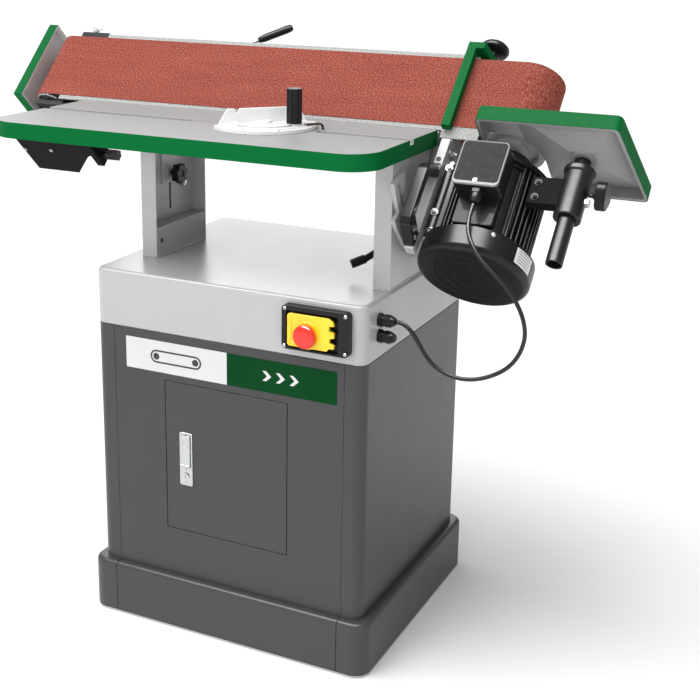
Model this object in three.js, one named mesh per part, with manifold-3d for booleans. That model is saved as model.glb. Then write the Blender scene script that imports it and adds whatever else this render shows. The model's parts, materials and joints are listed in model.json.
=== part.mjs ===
// Edge belt sander: a cabinet stand carries a table and a tilting sanding head.
// Units are millimetres, +Z is up, +X runs along the front, +Y points to the back.
// The origin is the centre of the plinth's underside.
import * as THREE from 'three';
import { mergeVertices } from 'three/addons/utils/BufferGeometryUtils.js';
import Module from 'manifold-3d';

// ---- driving dimensions ----
const GAP = 0.3;
const BODY = { width: 530, depth: 460, corner: 20, sheet: 2, top: 564 };
const PLINTH = { overhang: 17, height: 102, sheet: 3, lip: 25, corner: 13 };
const COVER = { bottom: 564.4, top: 666, sheet: 2.5 };
const SEAM = { left: -225, right: 229 };
const DOOR = { left: -120, right: 123, bottom: 194, top: 476, sheet: 2, fold: 12 };
const TABLE = { left: -480, right: 272, front: -19, back: 281, top: 915, thick: 29, corner: 58 };
const COLUMN = { front: 104, back: 278, sheet: 3, flange: 31, leftWeb: -230, rightWeb: 262 };
const MITRE = { x: -6, y: 160, radius: 92, turn: 45, slotWidth: 19, slotDepth: 9, stud: 58 };
const PIVOT = { y: 283, z: 915 };
const TILT = 45;
const BELT = { low: 9, high: 159.5, thick: 1.2 };
const DRUM = { x: 389.5, radius: 58.8 };
const IDLER = { x: -584, radius: 34 };
const FRAME = { left: -500, right: 300, low: 0.5, high: 168.5, front: 5.3, deep: 55, wall: 8 };
const MOTOR = { radius: 82, core: 74, fins: 32, top: -62, bottom: -200, coverRadius: 96, coverMouth: -208, end: -252 };
const END_TABLE = { left: 360, right: 630, taper: 28, front: -79, back: 122, rim: 28, plate: 8, cutout: 68 };
const POST = { x: 535, y: 0, radius: 14, bottom: -240 };
const CLAMP = { left: { radius: 140, angle: 250 }, right: { radius: 183, angle: 248.2 } };
const FENCE = { left: 279, right: 310, spread: 20, front: -17, back: 66, lip: 171, top: 184 };
const CABLE = { radius: 3.5 };

// ---- materials ----
function paint(color, roughness = 0.45, metalness = 0) {
  return new THREE.MeshStandardMaterial({ color, roughness, metalness });
}
const DARK = paint(0x4e4f51);
const LIGHT = paint(0xc9cbcb, 0.35);
const GREEN = paint(0x0a7d36, 0.4);
const BLACK = paint(0x1a1a1b, 0.4);
const STEEL = paint(0xb9bcbe, 0.3, 0.9);
const GRAPHITE = paint(0x8f9191, 0.7);
const GRIT = paint(0xa8503f, 0.95);
const YELLOW = paint(0xf2c21a, 0.35);
const RED = paint(0xd0281e, 0.35);

// ---- solids ----
const wasm = await Module();
wasm.setup();

function solid(geometry) {
  const bare = geometry.clone();
  bare.deleteAttribute('normal');
  bare.deleteAttribute('uv');
  const merged = mergeVertices(bare, 1e-3);
  return new wasm.Manifold(new wasm.Mesh({
    numProp: 3,
    vertProperties: new Float32Array(merged.attributes.position.array),
    triVerts: new Uint32Array(merged.index.array),
  }));
}

function geometryOf(manifold) {
  const mesh = manifold.getMesh();
  const geometry = new THREE.BufferGeometry();
  geometry.setAttribute('position', new THREE.BufferAttribute(mesh.vertProperties, 3));
  geometry.setIndex(new THREE.BufferAttribute(mesh.triVerts, 1));
  geometry.computeVertexNormals();
  return geometry;
}

function join(...geometries) {
  return geometryOf(geometries.map(solid).reduce((sum, next) => sum.add(next)));
}

function cut(base, ...tools) {
  return geometryOf(tools.map(solid).reduce((rest, tool) => rest.subtract(tool), solid(base)));
}

function common(base, tool) {
  return geometryOf(solid(base).intersect(solid(tool)));
}

function box(x0, x1, y0, y1, z0, z1) {
  const geometry = new THREE.BoxGeometry(x1 - x0, y1 - y0, z1 - z0);
  return geometry.translate((x0 + x1) / 2, (y0 + y1) / 2, (z0 + z1) / 2);
}

function outline(points) {
  return new THREE.Shape(points.map(([a, b]) => new THREE.Vector2(a, b)));
}

// A shape drawn in X and Y, raised along Z.
function prismZ(shape, z0, z1, curveSegments = 4) {
  const geometry = new THREE.ExtrudeGeometry(shape, { depth: z1 - z0, bevelEnabled: false, curveSegments });
  return geometry.translate(0, 0, z0);
}

// A shape drawn in Y and Z, extruded along X.
function prismX(shape, x0, x1, curveSegments = 4) {
  const turn = new THREE.Matrix4().makeBasis(
    new THREE.Vector3(0, 1, 0), new THREE.Vector3(0, 0, 1), new THREE.Vector3(1, 0, 0));
  return prismZ(shape, x0, x1, curveSegments).applyMatrix4(turn);
}

// A shape drawn in X and Z, extruded along Y.
function prismY(shape, y0, y1, curveSegments = 4) {
  const turn = new THREE.Matrix4().makeBasis(
    new THREE.Vector3(1, 0, 0), new THREE.Vector3(0, 0, 1), new THREE.Vector3(0, -1, 0));
  return prismZ(shape, -y1, -y0, curveSegments).applyMatrix4(turn);
}

function roundedRect(x0, x1, y0, y1, r) {
  const shape = new THREE.Shape();
  shape.absarc(x1 - r, y0 + r, r, -Math.PI / 2, 0, false);
  shape.absarc(x1 - r, y1 - r, r, 0, Math.PI / 2, false);
  shape.absarc(x0 + r, y1 - r, r, Math.PI / 2, Math.PI, false);
  shape.absarc(x0 + r, y0 + r, r, Math.PI, Math.PI * 1.5, false);
  return shape;
}

// A turned piece: [radius, height] pairs around Z, starting and ending on the axis or closing.
function turned(profile, segments = 24) {
  return new THREE.LatheGeometry(profile.map(([r, z]) => new THREE.Vector2(r, z)), segments)
    .rotateX(Math.PI / 2);
}

function rodZ(radius, z0, z1, segments = 16) {
  return turned([[0, z0], [radius, z0], [radius, z1], [0, z1]], segments);
}

function rodX(radius, x0, x1, segments = 16) {
  return rodZ(radius, x0, x1, segments).rotateY(Math.PI / 2);
}

function rodY(radius, y0, y1, segments = 16) {
  return rodZ(radius, -y1, -y0, segments).rotateX(Math.PI / 2);
}

function tubeZ(inner, outer, z0, z1, segments = 24) {
  return turned([[inner, z0], [outer, z0], [outer, z1], [inner, z1], [inner, z0]], segments);
}

// A round bar between two points.
function bar(from, to, radius, segments = 12) {
  const start = new THREE.Vector3(...from);
  const along = new THREE.Vector3(...to).sub(start);
  const turn = new THREE.Quaternion().setFromUnitVectors(
    new THREE.Vector3(0, 0, 1), along.clone().normalize());
  return rodZ(radius, 0, along.length(), segments).applyQuaternion(turn).translate(...from);
}

function lobedKnob(radius, lobes, height) {
  const shape = new THREE.Shape();
  const steps = lobes * 6;
  for (let i = 0; i < steps; i += 1) {
    const angle = (i / steps) * Math.PI * 2;
    const reach = radius * (0.9 + 0.1 * Math.cos(angle * lobes));
    const point = [reach * Math.cos(angle), reach * Math.sin(angle)];
    if (i === 0) shape.moveTo(...point);
    else shape.lineTo(...point);
  }
  return prismZ(shape, 0, height);
}

const degrees = (angle) => (angle * Math.PI) / 180;
const polar = (radius, angle) => [radius * Math.cos(degrees(angle)), radius * Math.sin(degrees(angle))];

function arcPoints(radius, from, to, count) {
  const points = [];
  for (let i = 0; i <= count; i += 1) points.push(polar(radius, from + ((to - from) * i) / count));
  return points;
}

// A curved slot's outline about the origin, with blunt ends.
function arcSlot(radius, halfWidth, from, to, count = 14) {
  return outline([...arcPoints(radius + halfWidth, from, to, count),
    ...arcPoints(radius - halfWidth, to, from, count)]);
}

// ---- scene graph ----
const model = new THREE.Group();
const stand = new THREE.Group();
stand.position.y = -BODY.depth / 2;
model.add(stand);
const head = new THREE.Group();
head.position.set(0, PIVOT.y, PIVOT.z);
head.rotation.x = -degrees(TILT);
stand.add(head);

function part(parent, name, geometry, material, x = 0, y = 0, z = 0) {
  const mesh = new THREE.Mesh(geometry, material);
  mesh.name = name;
  mesh.position.set(x, y, z);
  parent.add(mesh);
  return mesh;
}

// A straight-sided shape with rounded corners, from points in anticlockwise order.
function roundedShape(points, r) {
  const shape = new THREE.Shape();
  points.forEach(([x, y], i) => {
    const [nextX, nextY] = points[(i + 1) % points.length];
    const [lastX, lastY] = points[(i + points.length - 1) % points.length];
    const toNext = r / Math.hypot(nextX - x, nextY - y);
    const toLast = r / Math.hypot(lastX - x, lastY - y);
    const start = [x + (lastX - x) * toLast, y + (lastY - y) * toLast];
    if (i === 0) shape.moveTo(...start);
    else shape.lineTo(...start);
    shape.quadraticCurveTo(x, y, x + (nextX - x) * toNext, y + (nextY - y) * toNext);
  });
  return shape;
}

// ---- cabinet ----
function bodyOutline(inset, corner = BODY.corner) {
  const half = BODY.width / 2;
  return roundedRect(-half + inset, half - inset, inset, BODY.depth - inset, Math.max(corner - inset, 4));
}

function buildPlinth() {
  const { overhang, height, sheet, corner } = PLINTH;
  const skirt = prismZ(bodyOutline(-overhang, corner), 0, height, 3);
  const hollow = prismZ(bodyOutline(sheet - overhang, corner), sheet, height - sheet, 3);
  const mouth = prismZ(bodyOutline(PLINTH.lip), PLINTH.height - 2 * PLINTH.sheet, PLINTH.height + 1, 3);
  part(stand, 'plinth', cut(skirt, hollow, mouth), DARK);
  const floor = BODY.width / 2 - 10;
  part(stand, 'cabinet_floor', prismZ(roundedRect(-floor, floor, 10, BODY.depth - 10, 12),
    PLINTH.height + GAP, PLINTH.height + GAP + 2, 2), DARK);
}

function buildCabinetWalls() {
  const bottom = PLINTH.height + GAP;
  const ring = cut(prismZ(bodyOutline(0), bottom, BODY.top, 3),
    prismZ(bodyOutline(BODY.sheet), bottom - 1, BODY.top + 1, 3));
  const far = BODY.width;
  const doorway = box(DOOR.left - 1, DOOR.right + 1, -5, 20, DOOR.bottom - 1, DOOR.top + 1);
  part(stand, 'side_panel_left', common(ring, box(-far, SEAM.left - GAP, -5, far, 0, far * 2)), DARK);
  part(stand, 'side_panel_right', common(ring, box(SEAM.right + GAP, far, -5, far, 0, far * 2)), DARK);
  part(stand, 'back_panel', common(ring, box(SEAM.left, SEAM.right, far / 2, far, 0, far * 2)), DARK);
  part(stand, 'front_panel', cut(common(ring, box(SEAM.left, SEAM.right, -5, 50, 0, far * 2)), doorway), DARK);
}

function buildDoor() {
  const { left, right, bottom, top, sheet, fold } = DOOR;
  const pan = box(left, right, 0, fold, bottom, top);
  const recess = box(left + 4, right - 4, sheet, fold + 1, bottom + 4, top - 4);
  part(stand, 'door', cut(pan, recess), DARK);
  const plate = roundedRect(-91, -65, 284, 385, 3);
  part(stand, 'lock_plate', prismY(plate, -1.8, -GAP, 2), STEEL);
  part(stand, 'lock_paddle', join(box(-87, -69, -4, -2.1, 322, 380), rodX(2, -87, -69, 8).translate(0, -4.2, 323)), STEEL);
}

function buildCover() {
  const shell = prismZ(bodyOutline(0), COVER.bottom, COVER.top, 3);
  const hollow = prismZ(bodyOutline(COVER.sheet), COVER.bottom - 1, COVER.top - COVER.sheet, 3);
  const switchHole = box(136, 226, -5, 10, 592, 644);
  const glandHoles = [631, 603].map((z) => rodX(8, 255, 270, 12).translate(0, 55, z));
  part(stand, 'top_cover', cut(shell, hollow, switchHole, ...glandHoles), LIGHT);
}

// ---- switch and cable glands ----
function buildSwitch() {
  const plate = prismY(roundedRect(120, 242, 580, 656, 8), -16, -GAP, 3);
  const recess = box(130, 222, -17, -7, 584.5, 646);
  const buttonHole = rodY(9.8, -10, 5, 14).translate(204, 0, 615);
  part(stand, 'switch_plate', cut(plate, recess, buttonHole), BLACK);
  part(stand, 'switch_body', box(140, 222, GAP, 45, 596, 640), BLACK);
  part(stand, 'start_button', rodY(9, -14.5, -7.3, 14), GREEN, 204, 0, 615);
  const flap = cut(box(133, 219, -22, -15, 588, 644), rodY(9, -30, 0, 14).translate(169, 0, 610));
  part(stand, 'switch_flap', flap, YELLOW);
  const mushroom = turned([[0, -13.5], [16, -13.5], [20, -9], [20, -3], [8, -3], [8, 4], [0, 4]], 20)
    .rotateX(-Math.PI / 2);
  part(stand, 'stop_button', mushroom, RED, 169, -22.5, 610);
}

function buildGlands() {
  const profile = [[4, 0], [11, 0], [11, 12], [9.5, 13], [9.5, 24], [6, 30], [4, 30], [4, 0]];
  [['cable_gland_upper', 631], ['cable_gland_lower', 603]].forEach(([name, z]) => {
    const gland = turned(profile, 12).rotateY(Math.PI / 2);
    part(stand, name, gland, BLACK, BODY.width / 2 + GAP, 55, z);
  });
}

// ---- columns and table ----
function buildColumn(name, web, inward, clamp) {
  const { front, back, sheet, flange } = COLUMN;
  const tip = web + inward * flange;
  const channel = cut(
    box(Math.min(web, tip), Math.max(web, tip), front, back, COVER.top + GAP, TABLE.top - TABLE.thick - 0.5),
    box(Math.min(web + inward * sheet, tip + inward), Math.max(web + inward * sheet, tip + inward),
      front + sheet, back - sheet, COVER.top, TABLE.top));
  const [clampY, clampZ] = polar(clamp.radius, clamp.angle);
  const stud = rodX(5, web - 10, web + 10, 12).translate(0, PIVOT.y + clampY, PIVOT.z + clampZ);
  const slot = box(web - 10, web + 10, 194, 200, 738, 818);
  part(stand, name, cut(channel, stud, slot), LIGHT);
}

function buildColumnPlate(name, web, inward) {
  const face = web + inward * COLUMN.flange;
  const foot = [[0, COVER.top + 2 * GAP], [3, COVER.top + 2 * GAP], [3, 718.5], [26, 718.5], [26, 721.5], [0, 721.5]];
  const profile = outline(foot.map(([depth, z]) => [face - inward * depth, z]));
  const plate = prismY(profile, COLUMN.front + 3.4, COLUMN.back - 3.4);
  part(stand, name, cut(plate, rodX(5, face - 10, face + 10, 10).translate(0, 123, 695)), LIGHT);
}

function buildTableBracket(name, web, inward) {
  const near = web + inward * 3.5;
  const legEnd = near + inward * 3;
  const shelfEnd = near + inward * 48;
  const low = TABLE.top - TABLE.thick - 3.6;
  const leg = box(Math.min(near, legEnd), Math.max(near, legEnd), 165, 225, 790, low + 2);
  const shelf = box(Math.min(near, shelfEnd), Math.max(near, shelfEnd), 165, 225, low, low + 3.2);
  const hole = rodX(3, near - 10, near + 10, 12).translate(0, 197, 808);
  part(stand, name, cut(join(leg, shelf), hole), LIGHT);
}

function buildTable() {
  const { left, right, front, back, top, thick, corner } = TABLE;
  const shape = new THREE.Shape();
  shape.absarc(right - corner, front + corner, corner, -Math.PI / 2, 0, false);
  shape.absarc(right - 6, back - 6, 6, 0, Math.PI / 2, false);
  shape.absarc(left + 6, back - 6, 6, Math.PI / 2, Math.PI, false);
  shape.absarc(left + corner, front + corner, corner, Math.PI, Math.PI * 1.5, false);
  const slab = prismZ(shape, top - thick, top, 4);
  const pockets = [[-466, -362], [-354, -262], [-150, -4], [4, 150]].map(([x0, x1]) =>
    box(x0, x1, x0 < -400 ? 40 : front + 10, back - 10, top - thick - 1, top - 16));
  const slot = box(left - 1, right + 1, MITRE.y - MITRE.slotWidth / 2, MITRE.y + MITRE.slotWidth / 2,
    top - MITRE.slotDepth, top + 1);
  part(stand, 'table_top', cut(slab, slot, ...pockets), LIGHT);
}

function buildClampHardware() {
  const knob = join(lobedKnob(19, 7, 14).translate(0, 0, 6), rodZ(9, 0, 6, 14), rodZ(2.5, -10, 1, 10))
    .rotateY(Math.PI / 2);
  part(stand, 'table_knob', knob, BLACK, -219.5, 197, 808);
  const [leftY, leftZ] = polar(CLAMP.left.radius, CLAMP.left.angle);
  const stud = join(rodX(4, -246, -216, 10), rodX(9, -247, -239.5, 6), rodX(8, -226.5, -218, 6));
  part(stand, 'tilt_stud', stud, STEEL, 0, PIVOT.y + leftY, PIVOT.z + leftZ);
  const [rightY, rightZ] = polar(CLAMP.right.radius, CLAMP.right.angle);
  const lever = join(rodX(11, 236, 256, 14), rodX(4, 250, 278, 10), rodX(10, 271.6, 279.5, 12),
    bar([244, -4, -6], [186, -50, -48], 6, 8), bar([188, -48, -46], [168, -62, -55], 8, 8));
  part(stand, 'tilt_lock_lever', lever, BLACK, 0, PIVOT.y + rightY, PIVOT.z + rightZ);
}

// ---- mitre gauge ----
function buildMitreGauge() {
  const top = TABLE.top;
  const halfBar = MITRE.slotWidth / 2 - 0.5;
  const slide = cut(
    box(-145, 102, -halfBar, halfBar, top - MITRE.slotDepth + GAP, top),
    rodZ(4.6, top - 20, top + 20, 12));
  part(stand, 'mitre_bar', cut(slide, rodZ(4, top - 20, top + 20, 10).translate(MITRE.stud, 0, 0)), STEEL,
    MITRE.x, MITRE.y, 0);
  const disc = new THREE.Shape();
  disc.absarc(0, 0, MITRE.radius, Math.PI, Math.PI * 2, false);
  disc.lineTo(MITRE.radius - 20, 16);
  disc.lineTo(-MITRE.radius + 20, 16);
  const plate = prismZ(disc, top + 0.4, top + 8, 9);
  const wall = prismY(outline([[-75, top + 4], [75, top + 4], [64, top + 32], [-64, top + 32]]), 8, 16);
  const slot = prismZ(arcSlot(MITRE.stud, 5, 205, 335), top - 5, top + 20);
  const boss = join(rodZ(12, top + 6, top + 12, 14), rodZ(4, top - 7, top + 8, 10));
  const gauge = part(stand, 'mitre_head', join(cut(join(plate, wall), slot), boss), STEEL, MITRE.x, MITRE.y, 0);
  gauge.rotation.z = degrees(MITRE.turn);
  const handle = join(lobedKnob(14, 6, 62).translate(0, 0, top + 9), rodZ(3.4, top - 7, top + 10, 10));
  part(stand, 'mitre_handle', handle, BLACK, MITRE.x + MITRE.stud, MITRE.y, 0);
}

// ---- tilting head, drawn upright: belt face at Y = 0, drum axes along Z ----
function beltLoop(inset) {
  const drumR = DRUM.radius - inset;
  const idlerR = IDLER.radius - inset;
  const rise = 2 * Math.atan2(DRUM.radius - IDLER.radius, DRUM.x - IDLER.x);
  const shape = new THREE.Shape();
  shape.absarc(DRUM.x, DRUM.radius, drumR, -Math.PI / 2, Math.PI / 2 + rise, false);
  shape.absarc(IDLER.x, IDLER.radius, idlerR, Math.PI / 2 + rise, Math.PI * 1.5, false);
  return shape;
}

function buildBeltRun() {
  const loop = beltLoop(0);
  loop.holes.push(beltLoop(BELT.thick));
  part(head, 'sanding_belt', prismZ(loop, BELT.low, BELT.high, 12), GRIT);
  const pad = outline([[-545, 0.5], [276, 0.5], [276, -15.4], [345, -15.4], [345, 169], [-545, 169]]);
  part(head, 'platen_pad', prismY(pad, 1.5, 5), GRAPHITE);
  const { left, right, low, high, front, deep, wall } = FRAME;
  const channel = outline([[front, low], [deep, low], [deep, low + wall], [front + wall, low + wall],
    [front + wall, high - wall], [deep, high - wall], [deep, high], [front, high]]);
  part(head, 'head_frame', prismX(channel, left, right), LIGHT);
}

function buildDrive() {
  const face = turned([[14.5, 7], [50, 7], [57, 8], [57, 160], [50, 161], [14.5, 161], [14.5, 7]], 40);
  part(head, 'drive_drum', face, STEEL, DRUM.x, DRUM.radius, 0);
  const rotor = [[0, -247], [10, -247], [10, -190], [38, -190], [38, -72], [14, -72], [14, 158], [0, 158]];
  part(head, 'motor_rotor', turned(rotor, 24), STEEL, DRUM.x, DRUM.radius, 0);
  const hub = tubeZ(10.5, 22, -242, -222, 24);
  const blades = [];
  for (let i = 0; i < 8; i += 1) blades.push(box(20, 78, -1.2, 1.2, -242, -218).rotateZ((i * Math.PI) / 4));
  part(head, 'motor_fan', join(hub, ...blades), BLACK, DRUM.x, DRUM.radius, 0);
}

function buildMotor() {
  const { radius, core, fins, top, bottom, coverRadius, coverMouth, end } = MOTOR;
  const shape = new THREE.Shape();
  const pitch = 360 / fins;
  for (let i = 0; i < fins; i += 1) {
    const start = i * pitch;
    [[radius, 0], [radius, 0.36], [core, 0.5], [core, 0.86]].forEach(([reach, step], index) => {
      const point = polar(reach, start + step * pitch);
      if (i === 0 && index === 0) shape.moveTo(...point);
      else shape.lineTo(...point);
    });
  }
  const foot = FRAME.right + GAP - DRUM.x;
  const rails = [-56, 32].map((y) => box(foot, foot + 45, y, y + 24, bottom + 4, top - 4));
  const barrel = cut(join(prismZ(shape, bottom, top), ...rails), rodZ(56, bottom - 1, top + 1, 28));
  part(head, 'motor_housing', barrel, BLACK, DRUM.x, DRUM.radius, 0);
  const shield = [[16, top + GAP], [86, top + GAP], [86, -52], [50, -50], [42, -14], [16, -14], [16, top + GAP]];
  part(head, 'motor_front_shield', turned(shield, 28), BLACK, DRUM.x, DRUM.radius, 0);
  part(head, 'motor_rear_shield', tubeZ(12, 78, bottom - 10, bottom - GAP, 28), BLACK, DRUM.x, DRUM.radius, 0);
  const r = coverRadius;
  const coverShell = [[0, end], [r - 16, end], [r - 7, end + 4], [r - 1.5, end + 12], [r, end + 22], [r, coverMouth],
    [r - 2, coverMouth], [r - 2, end + 22], [r - 5, end + 9], [r - 16, end + 2], [0, end + 2]];
  part(head, 'fan_cover', turned(coverShell, 36), BLACK, DRUM.x, DRUM.radius, 0);
}

function buildTerminalBox() {
  const shell = cut(box(352, 430, -61, -24.5, -147, -62), box(355, 427, -70, -28, -144, -65));
  part(head, 'terminal_box', shell, BLACK);
  part(head, 'terminal_lid', box(351, 431, -66, -61.3, -148, -61), BLACK);
  const profile = [[4, -25], [8, -25], [11, -18], [11, 0], [4, 0], [4, -25]];
  part(head, 'terminal_gland', turned(profile, 12), BLACK, 395, -49.5, -148.3);
}

// Side plate that guides the tilt: a curved slot rides on a fixed stud.
function guidePlate(outer, inner, x0, x1, clamp) {
  const rest = clamp.angle + TILT;
  const slot = prismX(arcSlot(clamp.radius, 5.5, rest - TILT - 2.5, rest + 2.5), x0 - 1, x1 + 1);
  return cut(prismX(outline([...outer, ...inner]), x0, x1), slot);
}

function buildSideCastings() {
  const rightOuter = [...arcPoints(203, 243, 259, 4), ...arcPoints(225, 259, 309, 10)];
  const rightInner = [[55, 0.2], [5.3, 0.2], [5.3, -3], [22, -20], [30, -60], ...arcPoints(160, 280, 243, 8)];
  const guide = guidePlate(rightOuter, rightInner, 262.8, 270.8, CLAMP.right);
  const bracket = prismX(outline([[-3, -20], [-3, -246], [13, -246], [20, -200], [20, -160], [118, -160], [118, -20],
    [60, -8], [55, 0.2], [5.3, 0.2], [5.3, -20]]), 284, FRAME.right);
  const spacer = box(270, 285, 26, 54, -108, -1);
  part(head, 'motor_bracket', join(guide, bracket, spacer), LIGHT);
  const leftOuter = arcPoints(162, 244, 300, 12);
  const leftInner = [[55, 0.2], [8, 0.2], [8, -5], [24, -21], [30, -60], ...arcPoints(118, 285, 244, 8)];
  part(head, 'trunnion_plate', guidePlate(leftOuter, leftInner, -238.8, -230.8, CLAMP.left), LIGHT);
}

function buildHandle() {
  const profile = outline([[-3.3, -66], [-3.3, -92], [-40, -120], [-40, -203], [-3.3, -216], [-3.3, -242],
    [-12, -242], [-50, -228], [-57, -220], [-57, -112], [-52, -102], [-12, -66]]);
  part(head, 'tilt_handle', prismX(profile, 281, 303), BLACK);
}

function buildIdler() {
  part(head, 'idler_roller', tubeZ(9, 32.3, 7, 161, 32), STEEL, IDLER.x, IDLER.radius, 0);
  part(head, 'idler_shaft', rodZ(8, -14, 162.6, 20), STEEL, IDLER.x, IDLER.radius, 0);
  const spine = box(-540, -512, 12, 52, -6, 176);
  const lowArm = cut(box(-606, -512, 14, 54, -8, 5.6), rodZ(8.4, -20, 20, 20).translate(IDLER.x, IDLER.radius, 0));
  const topArm = box(-594, -528, 32, 58, 163, 197);
  const guide = rodX(7, -514, -430, 14).translate(0, 33, 84);
  part(head, 'idler_carriage', join(spine, lowArm, topArm, guide), BLACK);
  part(head, 'tension_spring', tubeZ(9, 13, -498, -440, 16).rotateY(Math.PI / 2), STEEL, 0, 33, 84);
  const lever = join(rodY(9, -9, 9, 14), bar([0, 0, 0], [48, 0, 29], 4, 8), bar([44, 0, 26.5], [116, 0, 70], 8, 12));
  part(head, 'tension_lever', lever, BLACK, -236, 45, 178.5);
}

function buildIdlerEnd() {
  const floorPlan = [[-672, 80], [-491, 80], [-491, 100], [-567, 186], [-672, 186]];
  const shell = prismZ(outline(floorPlan), -56, 150);
  const hollow = prismZ(outline([[-669, 78], [-494, 78], [-494, 99], [-568.5, 183], [-669, 183]]), -53, 147);
  const port = rodY(50, 180, 222, 28).translate(-621, 0, 50);
  const bore = rodY(47.5, 170, 230, 28).translate(-621, 0, 50);
  const lug = box(-500, -484, 84, 150, -56, -20);
  part(head, 'dust_hood', cut(join(shell, port, lug), hollow, bore), BLACK);
  const pan = box(-650, -630, -8, 79.5, -5, 180);
  part(head, 'end_guard', cut(pan, box(-645, -629, -3, 74.5, 0, 175)), GREEN);
  const knob = join(lobedKnob(12, 6, 26).translate(0, 0, 12), rodZ(5, 0, 13, 12)).rotateY(Math.PI / 2);
  part(head, 'tracking_knob', knob, BLACK, -483.6, 128, -40);
}

function buildStopFence() {
  const { left, right, spread, front, back, lip, top } = FENCE;
  const post = box(left, left + 16, front, -3, -1, top);
  const plate = prismZ(outline([[left, front], [right, front], [right + spread, back], [left, back]]), top - 6, top);
  const frontLip = box(left, right, front, front + 4, lip, top);
  const sideLip = prismZ(outline([[right - 4, front], [right, front], [right + spread, back],
    [right + spread - 4, back]]), lip, top);
  const slider = box(left + 3, left + 25, 20, 48, FRAME.high + GAP, top - 5);
  part(head, 'stop_fence', join(post, plate, frontLip, sideLip, slider), GREEN);
  const knob = turned([[0, 0], [9, 0], [9, 14], [22, 17], [27, 24], [24, 31], [12, 35], [0, 36]], 24);
  part(head, 'stop_knob', knob, BLACK, 309, 34, top + GAP);
}

function buildEndTable() {
  const { left, right, taper, front, back, rim, plate, cutout } = END_TABLE;
  const plan = (inset) => [[left + inset, front + inset], [right - taper - inset, front + inset],
    [right - inset, back - inset], [left + inset, back - inset]];
  const slab = prismZ(roundedShape(plan(0), 12), -rim, 0, 4);
  const pocket = prismZ(roundedShape(plan(6), 8), -rim - 1, -plate, 3);
  const pyramid = turned([[0, -40], [22, -40], [88, -plate + 1], [0, -plate + 1]], 4)
    .rotateZ(Math.PI / 4).translate(POST.x, POST.y, 0);
  const boss = rodZ(21, -40, -plate + 1, 20).translate(POST.x, POST.y, 0);
  const relief = rodZ(cutout, -60, 10, 40).translate(DRUM.x, DRUM.radius, 0);
  const notch = box(left - 5, DRUM.x, DRUM.radius - cutout, back + 5, -60, 10);
  const corner = box(left - 5, DRUM.x + cutout, DRUM.radius, back + 5, -60, 10);
  const top = cut(join(cut(slab, pocket), pyramid, boss), relief, notch, corner);
  part(head, 'end_table', top, LIGHT);
  part(head, 'end_table_post', rodZ(POST.radius, POST.bottom, -40.4, 20), BLACK, POST.x, POST.y, 0);
  const sleeve = cut(join(rodZ(23, -155, -57, 24), box(460 - POST.x, -18, -4, 16, -132, -80)),
    rodZ(POST.radius + 0.5, -160, -50, 24));
  part(head, 'post_sleeve', sleeve, BLACK, POST.x, POST.y, 0);
  const knob = join(rodX(4, 23.5, 42, 10), lobedKnob(25, 3, 15).rotateY(Math.PI / 2).translate(40, 0, 0));
  part(head, 'end_table_knob', knob, BLACK, POST.x, POST.y, -102);
}

// ---- motor cable, from the cover's upper gland to the terminal box ----
const CABLE_ROUTE = [
  [295.8, 55, 631], [304, 55, 630.5], [314, 55, 626], [325, 55, 616], [336, 55, 601], [348, 55, 583],
  [364, 55, 567], [386, 56, 556], [412, 57, 552], [438, 58, 556], [464, 59, 567], [487, 60, 584],
  [503, 61, 608], [510, 62, 636], [506, 62, 664], [493, 62, 691], [474, 62, 714], [452, 63, 734],
  [431, 66, 752], [414, 74, 770], [401, 88, 788], [396, 101.9, 803.9], [395, 113.2, 815.2],
  [395, 125, 827],
];

function buildCable() {
  const path = new THREE.CatmullRomCurve3(CABLE_ROUTE.map((point) => new THREE.Vector3(...point)));
  const ring = new THREE.Shape();
  ring.absarc(0, 0, CABLE.radius, 0, Math.PI * 2, false);
  const tube = new THREE.ExtrudeGeometry(ring, { steps: 50, extrudePath: path, curveSegments: 4 });
  part(stand, 'motor_cable', tube, BLACK);
}

buildPlinth();
buildCabinetWalls();
buildDoor();
buildCover();
buildSwitch();
buildGlands();
buildColumn('column_left', COLUMN.leftWeb, 1, CLAMP.left);
buildColumn('column_right', COLUMN.rightWeb, -1, CLAMP.right);
buildColumnPlate('column_plate_left', COLUMN.leftWeb, 1);
buildTableBracket('table_bracket_left', COLUMN.leftWeb, 1);
buildTableBracket('table_bracket_right', COLUMN.rightWeb, -1);
buildTable();
buildClampHardware();
buildMitreGauge();
buildBeltRun();
buildDrive();
buildMotor();
buildTerminalBox();
buildSideCastings();
buildHandle();
buildIdler();
buildIdlerEnd();
buildStopFence();
buildEndTable();
buildCable();

export default model;
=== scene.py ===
import json
import math
import random
import bmesh
import bpy
from mathutils import Matrix, Vector


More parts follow.
